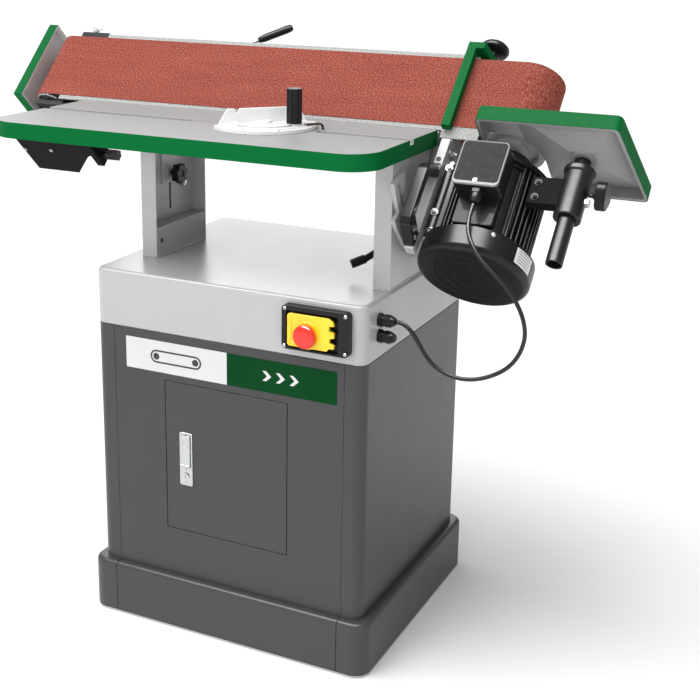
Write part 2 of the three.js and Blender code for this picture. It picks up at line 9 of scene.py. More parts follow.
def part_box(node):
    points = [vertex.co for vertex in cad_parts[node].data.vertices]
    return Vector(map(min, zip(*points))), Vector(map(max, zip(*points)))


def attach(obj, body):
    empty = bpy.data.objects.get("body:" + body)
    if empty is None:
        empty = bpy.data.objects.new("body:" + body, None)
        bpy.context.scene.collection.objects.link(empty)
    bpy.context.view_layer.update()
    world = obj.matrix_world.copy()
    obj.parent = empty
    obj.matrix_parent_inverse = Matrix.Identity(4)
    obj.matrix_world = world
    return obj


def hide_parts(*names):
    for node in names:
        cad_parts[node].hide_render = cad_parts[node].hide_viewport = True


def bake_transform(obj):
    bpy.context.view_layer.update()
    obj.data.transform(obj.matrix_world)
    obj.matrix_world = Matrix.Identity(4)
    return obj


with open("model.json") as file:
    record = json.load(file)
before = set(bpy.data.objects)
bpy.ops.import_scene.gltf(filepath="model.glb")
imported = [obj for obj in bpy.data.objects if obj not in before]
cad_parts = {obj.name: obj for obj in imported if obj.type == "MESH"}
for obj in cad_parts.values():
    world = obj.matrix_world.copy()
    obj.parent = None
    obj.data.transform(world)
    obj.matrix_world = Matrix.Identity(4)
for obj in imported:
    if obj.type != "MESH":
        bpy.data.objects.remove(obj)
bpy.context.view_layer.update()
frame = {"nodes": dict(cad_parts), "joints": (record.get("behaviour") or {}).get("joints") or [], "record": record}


# ---- spaces: every piece is drawn in millimetres in one of these ----
MM = 0.001
NODES = frame["nodes"]
SLOT_OF = {entry["node"]: entry["material_slot"] for entry in frame["record"]["subparts"]}
BODY_OF = {node: body for body, nodes in frame["record"]["behaviour"]["bodies"].items() for node in nodes}
JOINTS = {joint["name"]: joint for joint in frame["joints"]}


def at(x, y, z):
    """A move by millimetres."""
    return Matrix.Translation(Vector((x, y, z)) * MM)


def turn(degrees, axis):
    return Matrix.Rotation(math.radians(degrees), 4, axis)


def polar(radius, degrees):
    """The point at a radius and an angle about the origin."""
    angle = math.radians(degrees)
    return radius * math.cos(angle), radius * math.sin(angle)


# The stand's own frame starts at the cabinet's front face, and the head's at the tilt axis.
STAND = Matrix.Translation((0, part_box("front_panel")[0].y, 0))
HEAD = Matrix.Translation(Vector(JOINTS["head_tilt"]["pos_m"])) @ turn(-45, "X")


def extent(node, space):
    """A CAD node's lowest and highest corner, in a space's own millimetres."""
    back = space.inverted()
    points = [back @ vertex.co for vertex in NODES[node].data.vertices]
    low = Vector([min(point[i] for point in points) for i in range(3)]) / MM
    high = Vector([max(point[i] for point in points) for i in range(3)]) / MM
    return low, high


def middle(node, space):
    low, high = extent(node, space)
    return (low + high) / 2


DRUM = middle("drive_drum", HEAD)
IDLER = middle("idler_roller", HEAD)
MOTOR = HEAD @ at(DRUM.x, DRUM.y, 0)
TABLE_LOW, TABLE_HIGH = extent("table_top", STAND)
COVER_LOW, COVER_HIGH = extent("top_cover", STAND)
SWIVEL = STAND.inverted() @ Vector(JOINTS["mitre_swivel"]["pos_m"]) / MM
GAUGE = STAND @ at(SWIVEL.x, SWIVEL.y, TABLE_HIGH.z) @ turn(45, "Z")


# ---- flat outlines ----
def arc(cx, cy, radius, start, end, steps):
    """Points on an arc, angles in degrees."""
    points = []
    for i in range(steps + 1):
        angle = math.radians(start + (end - start) * i / steps)
        points.append((cx + radius * math.cos(angle), cy + radius * math.sin(angle)))
    return points


def circle(cx, cy, radius, steps=40):
    return arc(cx, cy, radius, 0, 360, steps)[:-1]


def rounded(x0, x1, y0, y1, radius, steps=10):
    """A rectangle with round corners, anticlockwise."""
    return (arc(x1 - radius, y0 + radius, radius, -90, 0, steps)
            + arc(x1 - radius, y1 - radius, radius, 0, 90, steps)
            + arc(x0 + radius, y1 - radius, radius, 90, 180, steps)
            + arc(x0 + radius, y0 + radius, radius, 180, 270, steps))


def band(radius, half_width, start, end, steps=24):
    """A curved slot about the origin with round ends."""
    return (arc(0, 0, radius + half_width, start, end, steps)
            + arc(*polar(radius, end), half_width, end, end + 180, 8)[1:-1]
            + arc(0, 0, radius - half_width, end, start, steps)
            + arc(*polar(radius, start), half_width, start + 180, start + 360, 8)[1:-1])


# ---- solids, as bmesh ----
PLANES = {
    "xy": Matrix.Identity(4),
    "xz": Matrix(((1, 0, 0, 0), (0, 0, 1, 0), (0, 1, 0, 0), (0, 0, 0, 1))),
    "yz": Matrix(((0, 0, 1, 0), (1, 0, 0, 0), (0, 1, 0, 0), (0, 0, 0, 1))),
}


def tidy(bm):
    bmesh.ops.recalc_face_normals(bm, faces=bm.faces)
    return bm


def prism(outline, low, high, plane="xy", holes=()):
    """An outline, with any holes, drawn in a plane and raised from low to high along the third axis."""
    bm = bmesh.new()
    edges = []
    for loop in (outline, *holes):
        verts = [bm.verts.new((a, b, low)) for a, b in loop]
        edges += [bm.edges.new(pair) for pair in zip(verts, verts[1:] + verts[:1])]
    if holes:
        filled = bmesh.ops.triangle_fill(bm, use_beauty=True, use_dissolve=False, edges=edges)
        faces = [item for item in filled["geom"] if isinstance(item, bmesh.types.BMFace)]
    else:
        faces = [bm.faces.new(verts)]
    raised = bmesh.ops.extrude_face_region(bm, geom=faces, use_keep_orig=True)
    tops = [item for item in raised["geom"] if isinstance(item, bmesh.types.BMVert)]
    bmesh.ops.translate(bm, vec=(0, 0, high - low), verts=tops)
    bmesh.ops.transform(bm, matrix=PLANES[plane], verts=bm.verts)
    return tidy(bm)


def block(x0, x1, y0, y1, z0, z1):
    return prism([(x0, y0), (x1, y0), (x1, y1), (x0, y1)], z0, z1)


def stack(loops):
    """A closed skin through loops of equal length, capped at both ends."""
    bm = bmesh.new()
    rings = [[bm.verts.new(point) for point in loop] for loop in loops]
    count = len(rings[0])
    for lower, upper in zip(rings, rings[1:]):
        for i in range(count):
            bm.faces.new((lower[i], lower[(i + 1) % count], upper[(i + 1) % count], upper[i]))
    bm.faces.new(rings[0][::-1])
    bm.faces.new(rings[-1])
    return tidy(bm)


def hoop(outer, inner, low, high, plane="xy"):
    """A thin closed wall between two outlines with the same number of points."""
    bm = bmesh.new()
    loops = [(outer, low), (outer, high), (inner, high), (inner, low)]
    rings = [[bm.verts.new((a, b, height)) for a, b in outline] for outline, height in loops]
    count = len(outer)
    for first, second in zip(rings, rings[1:] + rings[:1]):
        for i in range(count):
            bm.faces.new((first[i], first[(i + 1) % count], second[(i + 1) % count], second[i]))
    bmesh.ops.transform(bm, matrix=PLANES[plane], verts=bm.verts)
    return tidy(bm)


def filleted(corners, steps=5):
    """An outline from [x, y, radius] corners, each rounded by its radius."""
    points = []
    for i, (x, y, radius) in enumerate(corners):
        here = Vector((x, y))
        before = Vector(corners[i - 1][:2]) - here
        after = Vector(corners[(i + 1) % len(corners)][:2]) - here
        half = before.angle(after) / 2
        reach = min(radius / math.tan(half), before.length * 0.49, after.length * 0.49)
        start = here + before.normalized() * reach
        finish = here + after.normalized() * reach
        for step in range(steps + 1):
            t = step / steps
            spot = start * (1 - t) ** 2 + here * (2 * t * (1 - t)) + finish * t ** 2
            points.append((spot.x, spot.y))
    return points


def turned(profile, steps=48, axis="z", closed=False):
    """A turned solid from [radius, height] pairs. An open profile starts and ends on the axis."""
    bm = bmesh.new()
    rings = []
    for radius, height in profile:
        if radius == 0:
            rings.append([bm.verts.new((0, 0, height))])
        else:
            rings.append([bm.verts.new((x, y, height)) for x, y in circle(0, 0, radius, steps)])
    pairs = list(zip(rings, rings[1:])) + ([(rings[-1], rings[0])] if closed else [])
    for lower, upper in pairs:
        for i in range(steps):
            corners = [lower[i % len(lower)], lower[(i + 1) % len(lower)],
                       upper[(i + 1) % len(upper)], upper[i % len(upper)]]
            bm.faces.new(list(dict.fromkeys(corners)))
    if axis == "x":
        bmesh.ops.transform(bm, matrix=turn(90, "Y"), verts=bm.verts)
    if axis == "y":
        bmesh.ops.transform(bm, matrix=turn(-90, "X"), verts=bm.verts)
    return tidy(bm)


def rod(radius, low, high, steps=32, axis="z"):
    return turned([(0, low), (radius, low), (radius, high), (0, high)], steps, axis)


def pipe(inner, outer, low, high, steps=48, axis="z"):
    return turned([(inner, low), (outer, low), (outer, high), (inner, high)], steps, axis, closed=True)


def sweep(path, radii, steps=16):
    """A round bar along a path, with a radius at each point and flat ends."""
    points = [Vector(point) for point in path]
    side = None
    loops = []
    for i, point in enumerate(points):
        ahead = points[min(i + 1, len(points) - 1)] - points[max(i - 1, 0)]
        ahead.normalize()
        if side is None:
            side = ahead.orthogonal().normalized()
        side = (side - ahead * side.dot(ahead)).normalized()
        up = ahead.cross(side)
        loops.append([point + side * x + up * y for x, y in circle(0, 0, radii[i], steps)])
    return stack(loops)


def smooth_path(points, per_span=6):
    """Catmull-Rom points through the given points."""
    spots = [Vector(point) for point in points]
    line = [spots[0] * 2 - spots[1]] + spots + [spots[-1] * 2 - spots[-2]]
    made = []
    for i in range(1, len(line) - 2):
        a, b, c, d = line[i - 1:i + 3]
        for step in range(per_span):
            t = step / per_span
            made.append(((b * 2) + (c - a) * t + (a * 2 - b * 5 + c * 4 - d) * t ** 2
                         + (b * 3 - a - c * 3 + d) * t ** 3) / 2)
    return made + [spots[-1]]


def moved(bm, matrix):
    """The solid moved by a matrix whose move is in metres."""
    shift = Matrix.Translation(matrix.to_translation() / MM) @ matrix.to_3x3().to_4x4()
    bmesh.ops.transform(bm, matrix=shift, verts=bm.verts)
    return bm


def aimed(bm, spot, direction):
    """The solid with its +Z turned to a direction and its origin moved to a spot."""
    facing = Vector(direction).to_track_quat("Z", "Y").to_matrix().to_4x4()
    bmesh.ops.transform(bm, matrix=Matrix.Translation(spot) @ facing, verts=bm.verts)
    return bm


def mesh_of(bm, name="part"):
    """A mesh made from a bmesh, which is used up."""
    mesh = bpy.data.meshes.new(name)
    bm.to_mesh(mesh)
    bm.free()
    return mesh


def linked(name, data):
    """A new object in the scene, around its data."""
    made = bpy.data.objects.new(name, data)
    bpy.context.scene.collection.objects.link(made)
    return made


def together(*solids):
    """Several solids in one bmesh, each left whole."""
    result = bmesh.new()
    for solid in solids:
        mesh = mesh_of(solid)
        result.from_mesh(mesh)
        bpy.data.meshes.remove(mesh)
    return result


def combined(base, tool, operation):
    """The base cut by or joined with the tool."""
    first = linked("loose", mesh_of(base))
    second = linked("loose", mesh_of(tool))
    change = first.modifiers.new("change", "BOOLEAN")
    change.operation = operation
    change.solver = "EXACT"
    change.use_self = True
    change.object = second
    graph = bpy.context.evaluated_depsgraph_get()
    result = bmesh.new()
    result.from_mesh(first.evaluated_get(graph).to_mesh())
    bpy.data.objects.remove(first)
    bpy.data.objects.remove(second)
    bmesh.ops.remove_doubles(result, verts=result.verts, dist=0.002)
    return tidy(result)


def cut(base, *tools):
    return combined(base, together(*tools), "DIFFERENCE")


# ---- materials ----
def graph_of(name):
    """A new material's node tree and its surface shader."""
    material = bpy.data.materials.new(name)
    material.use_nodes = True
    tree = material.node_tree
    shader = next(node for node in tree.nodes if node.type == "BSDF_PRINCIPLED")
    return material, tree, shader


def wired(tree, target, **inputs):
    """Sets or links a shader node's named inputs."""
    for key, value in inputs.items():
        socket = target.inputs[key.replace("_", " ")]
        if isinstance(value, bpy.types.NodeSocket):
            tree.links.new(value, socket)
        else:
            socket.default_value = value
    return target


def node(tree, kind, **inputs):
    return wired(tree, tree.nodes.new("ShaderNode" + kind), **inputs)


def noise(tree, scale, detail=2.0, roughness=0.5, stretch=(1, 1, 1)):
    """A noise value in the piece's own metres, stretched along an axis where asked."""
    place = node(tree, "TexCoord").outputs["Object"]
    spot = node(tree, "Mapping", Vector=place, Scale=stretch).outputs[0]
    return node(tree, "TexNoise", Vector=spot, Scale=scale, Detail=detail, Roughness=roughness).outputs[0]


def between(tree, factor, low, high, start=0.3, end=0.7):
    """A factor that runs from start to end, spread from low to high."""
    made = node(tree, "MapRange", Value=factor, From_Min=start, From_Max=end, To_Min=low, To_Max=high)
    return made.outputs[0]


def layered(tree, base, share, extra):
    """A share of the base value, plus a second value."""
    made = node(tree, "Math", Value=base)
    made.operation = "MULTIPLY_ADD"
    made.inputs[1].default_value = share
    tree.links.new(extra, made.inputs[2])
    return made.outputs[0]


def tones(tree, factor, stops):
    """A colour ramp over a factor."""
    ramp = node(tree, "ValToRGB", Fac=factor)
    first, last = ramp.color_ramp.elements
    first.position, first.color = stops[0][0], (*stops[0][1], 1)
    last.position, last.color = stops[-1][0], (*stops[-1][1], 1)
    for position, colour in stops[1:-1]:
        ramp.color_ramp.elements.new(position).color = (*colour, 1)
    return ramp.outputs[0]


def mottled(tree, factor, colour, darker, lighter, start=0.3, end=0.7):
    """A colour that runs from a darker to a lighter share of itself."""
    dark, light = (tuple(channel * share for channel in colour) for share in (darker, lighter))
    return tones(tree, factor, [(start, dark), (end, light)])


def bumped(tree, height, distance):
    return node(tree, "Bump", Strength=1.0, Distance=distance, Height=height).outputs[0]


def painted(name, colour, gloss, spread=0.06, peel=0.00006, metal=0.0, grain=900.0, shine=0.35):
    """Sprayed paint: a faint cloudiness, orange peel, and gloss that wanders a little."""
    material, tree, shader = graph_of(name)
    specks = between(tree, noise(tree, grain * 1.6, 1.0), 0.0, 0.25)
    cloud = layered(tree, noise(tree, 5.0, 4.0), 0.75, specks)
    wired(tree, shader,
          Base_Color=mottled(tree, cloud, colour, 1 - spread, 1 + spread, 0.25, 0.75),
          Roughness=between(tree, noise(tree, 18.0, 3.0), gloss * 0.95, gloss * 1.05),
          Normal=bumped(tree, noise(tree, grain, 2.0), peel),
          Metallic=metal, Specular_IOR_Level=shine)
    return material


def cast(name, colour, gloss, coat):
    """A rough sand-cast skin under paint."""
    material, tree, shader = graph_of(name)
    lumps = noise(tree, 420.0, 5.0, 0.65)
    wired(tree, shader,
          Base_Color=mottled(tree, lumps, colour, 0.8, 1.2),
          Roughness=between(tree, lumps, gloss * 0.8, gloss * 1.2),
          Normal=bumped(tree, lumps, 0.0005),
          Specular_IOR_Level=0.12, Coat_Weight=coat)
    return material


def ground(name, colour, gloss, metal):
    """Machined metal with fine marks along X."""
    material, tree, shader = graph_of(name)
    marks = noise(tree, 30.0, 3.0, 0.6, (1, 60, 60))
    wired(tree, shader,
          Base_Color=mottled(tree, marks, colour, 0.88, 1.06),
          Roughness=between(tree, marks, gloss * 0.75, gloss * 1.25),
          Normal=bumped(tree, marks, 0.00004),
          Metallic=metal)
    return material


def abrasive(name):
    """Closed-coat grit: dark and pale grains over red-brown resin, with worn bands along the belt."""
    material, tree, shader = graph_of(name)
    fine = between(tree, noise(tree, 1300.0, 2.0, 0.7), 0.0, 0.45, 0.2, 0.8)
    grit = layered(tree, noise(tree, 340.0, 1.0, 0.5), 0.55, fine)
    grains = tones(tree, grit, [(0.3, (0.08, 0.012, 0.008)), (0.44, (0.26, 0.052, 0.034)),
                                (0.55, (0.38, 0.1, 0.072)), (0.7, (0.5, 0.23, 0.18))])
    worn = noise(tree, 5.0, 3.0, 0.6, (1, 7, 7))
    shade = tones(tree, worn, [(0.3, (0.84, 0.76, 0.74)), (0.7, (1.0, 1.0, 1.0))])
    blend = node(tree, "Mix")
    blend.data_type = "RGBA"
    blend.blend_type = "MULTIPLY"
    blend.inputs[0].default_value = 1.0
    tree.links.new(grains, blend.inputs[6])
    tree.links.new(shade, blend.inputs[7])
    wired(tree, shader, Base_Color=blend.outputs[2], Roughness=0.85, Specular_IOR_Level=0.08,
          Normal=bumped(tree, grit, 0.0007))
    return material


def speckled(name):
    """Graphite cloth: pale and dark specks."""
    material, tree, shader = graph_of(name)
    specks = noise(tree, 620.0, 2.0, 0.8)
    greys = [(0.36, (0.07, 0.07, 0.07)), (0.47, (0.32, 0.32, 0.31)), (0.6, (0.62, 0.62, 0.61))]
    wired(tree, shader, Base_Color=tones(tree, specks, greys), Roughness=0.7, Specular_IOR_Level=0.2,
          Normal=bumped(tree, specks, 0.0004))
    return material


def moulded(name, colour, gloss, coat=0.0, shine=0.5):
    """Injection-moulded plastic or rubber with a fine grain."""
    material, tree, shader = graph_of(name)
    skin = noise(tree, 1200.0, 3.0, 0.6)
    wired(tree, shader,
          Base_Color=mottled(tree, noise(tree, 30.0, 2.0), colour, 0.9, 1.1),
          Roughness=between(tree, skin, gloss * 0.85, gloss * 1.15),
          Normal=bumped(tree, skin, 0.00005),
          Specular_IOR_Level=shine, Coat_Weight=coat)
    return material


FINISH = {
    "dark_paint": painted("dark_paint", (0.054, 0.054, 0.055), 0.34, 0.025, shine=0.25),
    "light_paint": painted("light_paint", (0.42, 0.42, 0.42), 0.3, 0.04),
    "table_paint": painted("table_paint", (0.36, 0.365, 0.365), 0.5, 0.05, peel=0.00008, shine=0.15),
    "green_paint": painted("green_paint", (0.0006, 0.12, 0.028), 0.55, 0.05, shine=0.05),
    "black_paint": painted("black_paint", (0.007, 0.007, 0.0075), 0.3, 0.25, peel=0.0001, shine=0.3),
    "black_plastic": moulded("black_plastic", (0.006, 0.006, 0.0065), 0.36, shine=0.28),
    "steel": ground("steel", (0.56, 0.57, 0.58), 0.28, 0.9),
    "gauge_metal": painted("gauge_metal", (0.8, 0.8, 0.8), 0.4, 0.04, metal=0.1, grain=500.0),
    "graphite": speckled("graphite"),
    "abrasive": abrasive("abrasive"),
    "yellow_plastic": moulded("yellow_plastic", (0.86, 0.56, 0.015), 0.3, coat=0.2),
    "red_plastic": moulded("red_plastic", (0.72, 0.02, 0.008), 0.28, coat=0.3),
    "green_plastic": moulded("green_plastic", (0.01, 0.3, 0.06), 0.3),
    "cable_rubber": moulded("cable_rubber", (0.007, 0.007, 0.007), 0.36),
}
HOOD_BLACK = painted("hood_black", (0.007, 0.007, 0.0075), 0.6, 0.2, peel=0.0001, shine=0.04)
GLOSS_BLACK = painted("gloss_black", (0.008, 0.008, 0.0085), 0.32, 0.2, peel=0.00005, shine=0.3)
SATIN_BLACK = painted("satin_black", (0.009, 0.009, 0.0095), 0.36, 0.2, peel=0.0001, shine=0.4)
DRUM_ALLOY = painted("drum_alloy", (0.5, 0.5, 0.5), 0.45, 0.06, grain=500.0, metal=0.2)
# Darker than the table paint: partly the underside's own grey, partly painted shade.
UNDERSIDE_GREY_AND_SHADE = painted("underside_grey_and_shade", (0.25, 0.25, 0.25), 0.45, 0.12)
ROUGH_BLACK = cast("rough_cast_black", (0.012, 0.012, 0.0125), 0.45, coat=0.1)
LABEL_WHITE = painted("label_white", (0.6, 0.6, 0.6), 0.5, shine=0.1)
LABEL_GREEN = painted("label_green", (0.0, 0.045, 0.009), 0.5, shine=0.08)
# Much paler than the light paint: painted light for shaded parts, the end guard's inside and the bracket's front
# edge.
GREY_WITH_PAINTED_LIGHT = painted("grey_with_painted_light", (0.78, 0.78, 0.78), 0.5, shine=0.1)
LABEL_INK = moulded("label_ink", (0.03, 0.03, 0.03), 0.5)
BAR_STEEL = painted("bar_steel", (0.3, 0.3, 0.3), 0.5, 0.06, grain=400.0)
# The terminal lid's rim is grey as a painted reflection of the floor in the black lid's edge.
LID_RIM_PAINTED_REFLECTION = painted("lid_rim_painted_reflection", (0.22, 0.22, 0.22), 0.38, 0.08)
LID_METAL = painted("lid_metal", (0.022, 0.022, 0.022), 0.42, 0.5, grain=60.0, shine=0.05)


# ---- pieces ----
def soften(thing, width, steps, angle=32):
    """Rounds the edges by a width in millimetres and keeps the flats flat."""
    if width:
        edge = thing.modifiers.new("edges", "BEVEL")
        edge.width = width * MM
        edge.segments = steps
        edge.limit_method = "ANGLE"
        edge.angle_limit = math.radians(angle)
    normals = thing.modifiers.new("normals", "WEIGHTED_NORMAL")
    normals.keep_sharp = True


def piece(name, solid, space, body, slot, stands_for=(), soft=0.6, steps=2, look=None, angle=32):
    """A finished piece: it rides on its body and takes its finish from a slot of the record."""
    mesh = mesh_of(solid, name)
    mesh.transform(Matrix.Scale(MM, 4))
    mesh.materials.append(look or FINISH[slot])
    mesh.shade_smooth()
    mesh.set_sharp_from_angle(angle=math.radians(angle))
    made = linked(name, mesh)
    made.matrix_world = space
    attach(made, body)
    if stands_for:
        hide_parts(*stands_for)
    soften(made, soft, steps, angle)


def stand_in(node_name, solid, space, soft=0.6, steps=2, look=None, angle=32):
    """The detailed piece for a CAD node, on the node's own body and slot."""
    piece(node_name + "_detail", solid, space, BODY_OF[node_name], SLOT_OF[node_name],
          (node_name,), soft, steps, look, angle)


def dress(node_name, soft=0.8, steps=2, look=None):
    """A CAD node kept as it is, with its finish and its edges rounded."""
    part = NODES[node_name]
    part.data.materials.clear()
    part.data.materials.append(look or FINISH[SLOT_OF[node_name]])
    custom = part.data.attributes.get("custom_normal")
    if custom:
        part.data.attributes.remove(custom)
    part.data.shade_smooth()
    weld = part.modifiers.new("weld", "WELD")
    weld.merge_threshold = 0.00002
    soften(part, soft, steps)


# ---- fasteners, each drawn along +Z from its seat ----
def hex_bolt(across, height):
    """A nut on a washer, with the bolt's end standing out of it."""
    nut = prism(circle(0, 0, across / math.sqrt(3), 6), 1.4, 1.4 + height)
    bolt_end = rod(across * 0.28, height, height + 3.4, 20)
    washer = pipe(across * 0.25, across * 0.85, 0, 1.5, 28)
    return together(nut, bolt_end, washer)


def cap_screw(radius, height):
    """A round head with a hexagon socket."""
    head = rod(radius, 0, height, 28)
    return cut(head, prism(circle(0, 0, radius * 0.55, 6), height * 0.4, height + 1))


def pan_screw(radius, height):
    """A domed head with a cross slot."""
    profile = [(0, 0), (radius, 0), (radius, height * 0.3), (radius * 0.75, height * 0.8), (0, height)]
    reach = radius * 0.6
    across = block(-reach, reach, -0.45, 0.45, height * 0.35, height + 1)
    along = block(-0.45, 0.45, -reach, reach, height * 0.35, height + 1)
    return cut(turned(profile, 28), across, along)


def fasteners(name, make, spots, direction, space, body, slot="steel", soft=0.35):
    """The same fastener at several spots, as one piece. Its heads face the direction."""
    solids = [aimed(make(), Vector(spot), direction) for spot in spots]
    piece(name, together(*solids), space, body, slot, soft=soft)


def weld_bead(name, start, end, seed):
    """A line of overlapping weld ripples between two points of the stand."""
    radius = 2.0
    chance = random.Random(seed)
    start = Vector(start)
    end = Vector(end)
    count = max(4, round((end - start).length / (radius * 0.45)))
    path = []
    radii = []
    for i in range(count + 1):
        wobble = Vector((chance.uniform(-1, 1), chance.uniform(-1, 1), chance.uniform(-0.5, 0.5)))
        path.append(start.lerp(end, i / count) + wobble * radius * 0.22)
        radii.append(radius * (0.78 + 0.3 * abs(math.sin(i * 1.7)) + chance.uniform(-0.1, 0.1)))
    radii[0] *= 0.5
    radii[-1] *= 0.5
    piece(name, sweep(path, radii, 10), STAND, "stand", "light_paint", soft=0)


# ---- camera, at the photograph's viewing angle ----
CAMERA_SPOT = Vector((1.0646, -2.0539, 1.2716))
CAMERA_TURN = 0.4666
CAMERA_DIP = 0.2668
CAMERA_ROLL = 0.0078
CAMERA_SHIFT = (0.0714, -0.1143)
FOCAL_LENGTH = 66.67
SENSOR_WIDTH = 36.0


def make_camera():
    data = bpy.data.cameras.new("camera")
    data.sensor_width = SENSOR_WIDTH
    data.lens = FOCAL_LENGTH
    data.shift_x, data.shift_y = CAMERA_SHIFT
    camera = linked("camera", data)
    ahead = Vector((-math.sin(CAMERA_TURN) * math.cos(CAMERA_DIP),
                    math.cos(CAMERA_TURN) * math.cos(CAMERA_DIP), -math.sin(CAMERA_DIP)))
    facing = ahead.to_track_quat("-Z", "Y").to_matrix().to_4x4()
    camera.matrix_world = Matrix.Translation(CAMERA_SPOT) @ facing @ Matrix.Rotation(CAMERA_ROLL, 4, "Z")
    bpy.context.scene.camera = camera


# ---- motor cable, from the upper gland to the terminal box ----
CABLE_RADIUS = 3.5
CABLE_POINTS = [
    (295.8, 55, 631), (304, 55, 630.5), (314, 55, 626), (325, 55, 616), (336, 55, 601), (348, 55, 583),
    (364, 55, 567), (386, 56, 556), (412, 57, 552), (438, 58, 556), (464, 59, 567), (487, 60, 584),
    (503, 61, 608), (510, 62, 636), (506, 62, 664), (493, 62, 691), (474, 62, 714), (452, 63, 734),
    (431, 66, 752), (414, 74, 770), (401, 88, 788), (396, 101.9, 803.9), (395, 113.2, 815.2),
    (395, 125, 827),
]


def make_cable():
    path = smooth_path(CABLE_POINTS)
    solid = sweep(path, [CABLE_RADIUS] * len(path), 20)
    mesh = mesh_of(solid, "motor_cable_detail")
    mesh.transform(STAND @ Matrix.Scale(MM, 4))
    mesh.materials.append(FINISH["cable_rubber"])
    mesh.shade_smooth()
    cable = linked("motor_cable_detail", mesh)
    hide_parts("motor_cable")
    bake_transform(cable)


make_camera()
make_cable()


# ---- cabinet ----
BODY_LOW, BODY_HIGH = Vector((COVER_LOW.x, COVER_LOW.y, 0)), COVER_HIGH
CORNER = 20.0
PLINTH_CORNER = 13.0


def body_loop(inset, z, corner=CORNER):
    """The cabinet's outline, pulled in by an inset, at a height."""
    outline = rounded(BODY_LOW.x + inset, BODY_HIGH.x - inset, BODY_LOW.y + inset, BODY_HIGH.y - inset,
                      max(corner - inset, 4), 12)
    return [(x, y, z) for x, y in outline]


def round_over(inset, z, radius, corner=CORNER):
    """Loops that round an outline's upper edge."""
    steps = 5
    loops = []
    for i in range(steps + 1):
        angle = math.pi / 2 * i / steps
        pulled = inset + radius * (1 - math.cos(angle))
        loops.append(body_loop(pulled, z - radius * (1 - math.sin(angle)), corner))
    return loops


def build_plinth():
    low, high = extent("plinth", STAND)
    reach = BODY_LOW.x - low.x
    corner = PLINTH_CORNER
    lip = 25
    loops = [body_loop(-reach + 0.5, 4, corner), body_loop(-reach, 5, corner)]
    loops += round_over(-reach, high.z, 9, corner)
    loops += [body_loop(lip, high.z, corner), body_loop(lip, high.z - 5, corner)]
    seams = []
    for edge in extent("front_panel", STAND):
        left, right = edge.x - 0.5, edge.x + 0.5
        seams.append(block(left, right, low.y - 2, 0.5, -2, high.z + 2))
        seams.append(block(left, right, BODY_HIGH.y - 0.5, high.y + 2, -2, high.z + 2))
    stand_in("plinth", cut(stack(loops), *seams), STAND, soft=0.3)
    foot = stack([body_loop(-reach + 1.2, 0, corner), body_loop(-reach + 0.2, 1.2, corner),
                  body_loop(-reach + 0.2, 3.8, corner)])
    piece("plinth_foot_rim", foot, STAND, "stand", "light_paint", soft=0)


def build_cabinet():
    for name in ("cabinet_floor", "side_panel_left", "side_panel_right", "back_panel", "front_panel"):
        dress(name, 0.9)
    dress("door", 1.1, 3)


def build_cover():
    sheet = 2.5
    loops = [body_loop(sheet, COVER_HIGH.z - sheet), body_loop(sheet, COVER_LOW.z),
             body_loop(1, COVER_LOW.z), body_loop(0, COVER_LOW.z + 1.2)]
    loops += round_over(0, COVER_HIGH.z, 7)
    solid = stack(loops)
    low, high = extent("switch_body", STAND)
    solid = cut(solid, block(low.x - 4, high.x + 4, -5, 10, low.z - 4, high.z + 4))
    stand_in("top_cover", solid, STAND, soft=0)


def build_label():
    panel_low, panel_high = extent("front_panel", STAND)
    left, right = panel_low.x + 25, panel_high.x - 13
    low, high, split = 490.0, 548.0, 7.0
    white = prism(rounded(left, split - 0.4, low, high, 1), -0.75, -0.15, "xz")
    green = prism(rounded(split + 0.4, right, low, high, 1), -0.75, -0.15, "xz")
    piece("label_white_field", white, STAND, "stand", "light_paint", soft=0.15, look=LABEL_WHITE)
    piece("label_green_field", green, STAND, "stand", "green_paint", soft=0.15, look=LABEL_GREEN)
    build_label_signs((left + split) / 2, (split + right) / 2, (low + high) / 2)


def build_label_signs(white_centre, green_centre, height):
    """Plain signs in place of lettering: a belt round two rollers, and arrows along it."""
    loop = rounded(white_centre - 52, white_centre + 52, height - 12, height + 12, 11.9, 14)
    inner = rounded(white_centre - 49, white_centre + 49, height - 9, height + 9, 8.9, 14)
    front, back = -1.05, -0.7
    centres = (white_centre - 40, white_centre + 40)
    rollers = [prism(circle(x, height, 6.2, 28), front, back, "xz") for x in centres]
    sign = together(hoop(loop, inner, front, back, "xz"), *rollers)
    piece("label_belt_sign", sign, STAND, "stand", "black_plastic", soft=0, look=LABEL_INK)
    arrows = []
    for shift in (-26, 0, 26):
        x = green_centre + shift
        outline = [(x - 9, height - 9), (x, height), (x - 9, height + 9), (x - 2, height + 9),
                   (x + 8, height), (x - 2, height - 9)]
        arrows.append(prism(outline, front, back, "xz"))
    piece("label_arrow_sign", together(*arrows), STAND, "stand", "light_paint", soft=0, look=LABEL_WHITE)


def build_lock():
    low, high = extent("lock_plate", STAND)
    x = (low.x + high.x) / 2
    plate = prism(rounded(low.x, high.x, low.z, high.z, 3), low.y, high.y, "xz")
    window = prism(rounded(x - 10, x + 10, low.z + 36, high.z - 3, 2), low.y - 1, low.y + 0.7, "xz")
    stand_in("lock_plate", cut(plate, window), STAND, soft=0.35)
    keyhole = block(-0.7, 0.7, low.y - 4, low.y - 1, -3.6, 3.6)
    barrel = cut(rod(6.2, low.y - 2.2, low.y + 0.5, 32, "y"), keyhole)
    piece("lock_barrel", moved(barrel, at(x, 0, low.z + 18)), STAND, "door", "steel", soft=0.3)
    rivets = [(x, low.y, low.z + 5), (x, low.y, low.z + 30)]
    fasteners("lock_rivets", lambda: turned([(0, -0.2), (2, -0.2), (1.7, 0.8), (0, 1.1)], 20), rivets,
              (0, -1, 0), STAND, "door", soft=0)
    build_paddle()


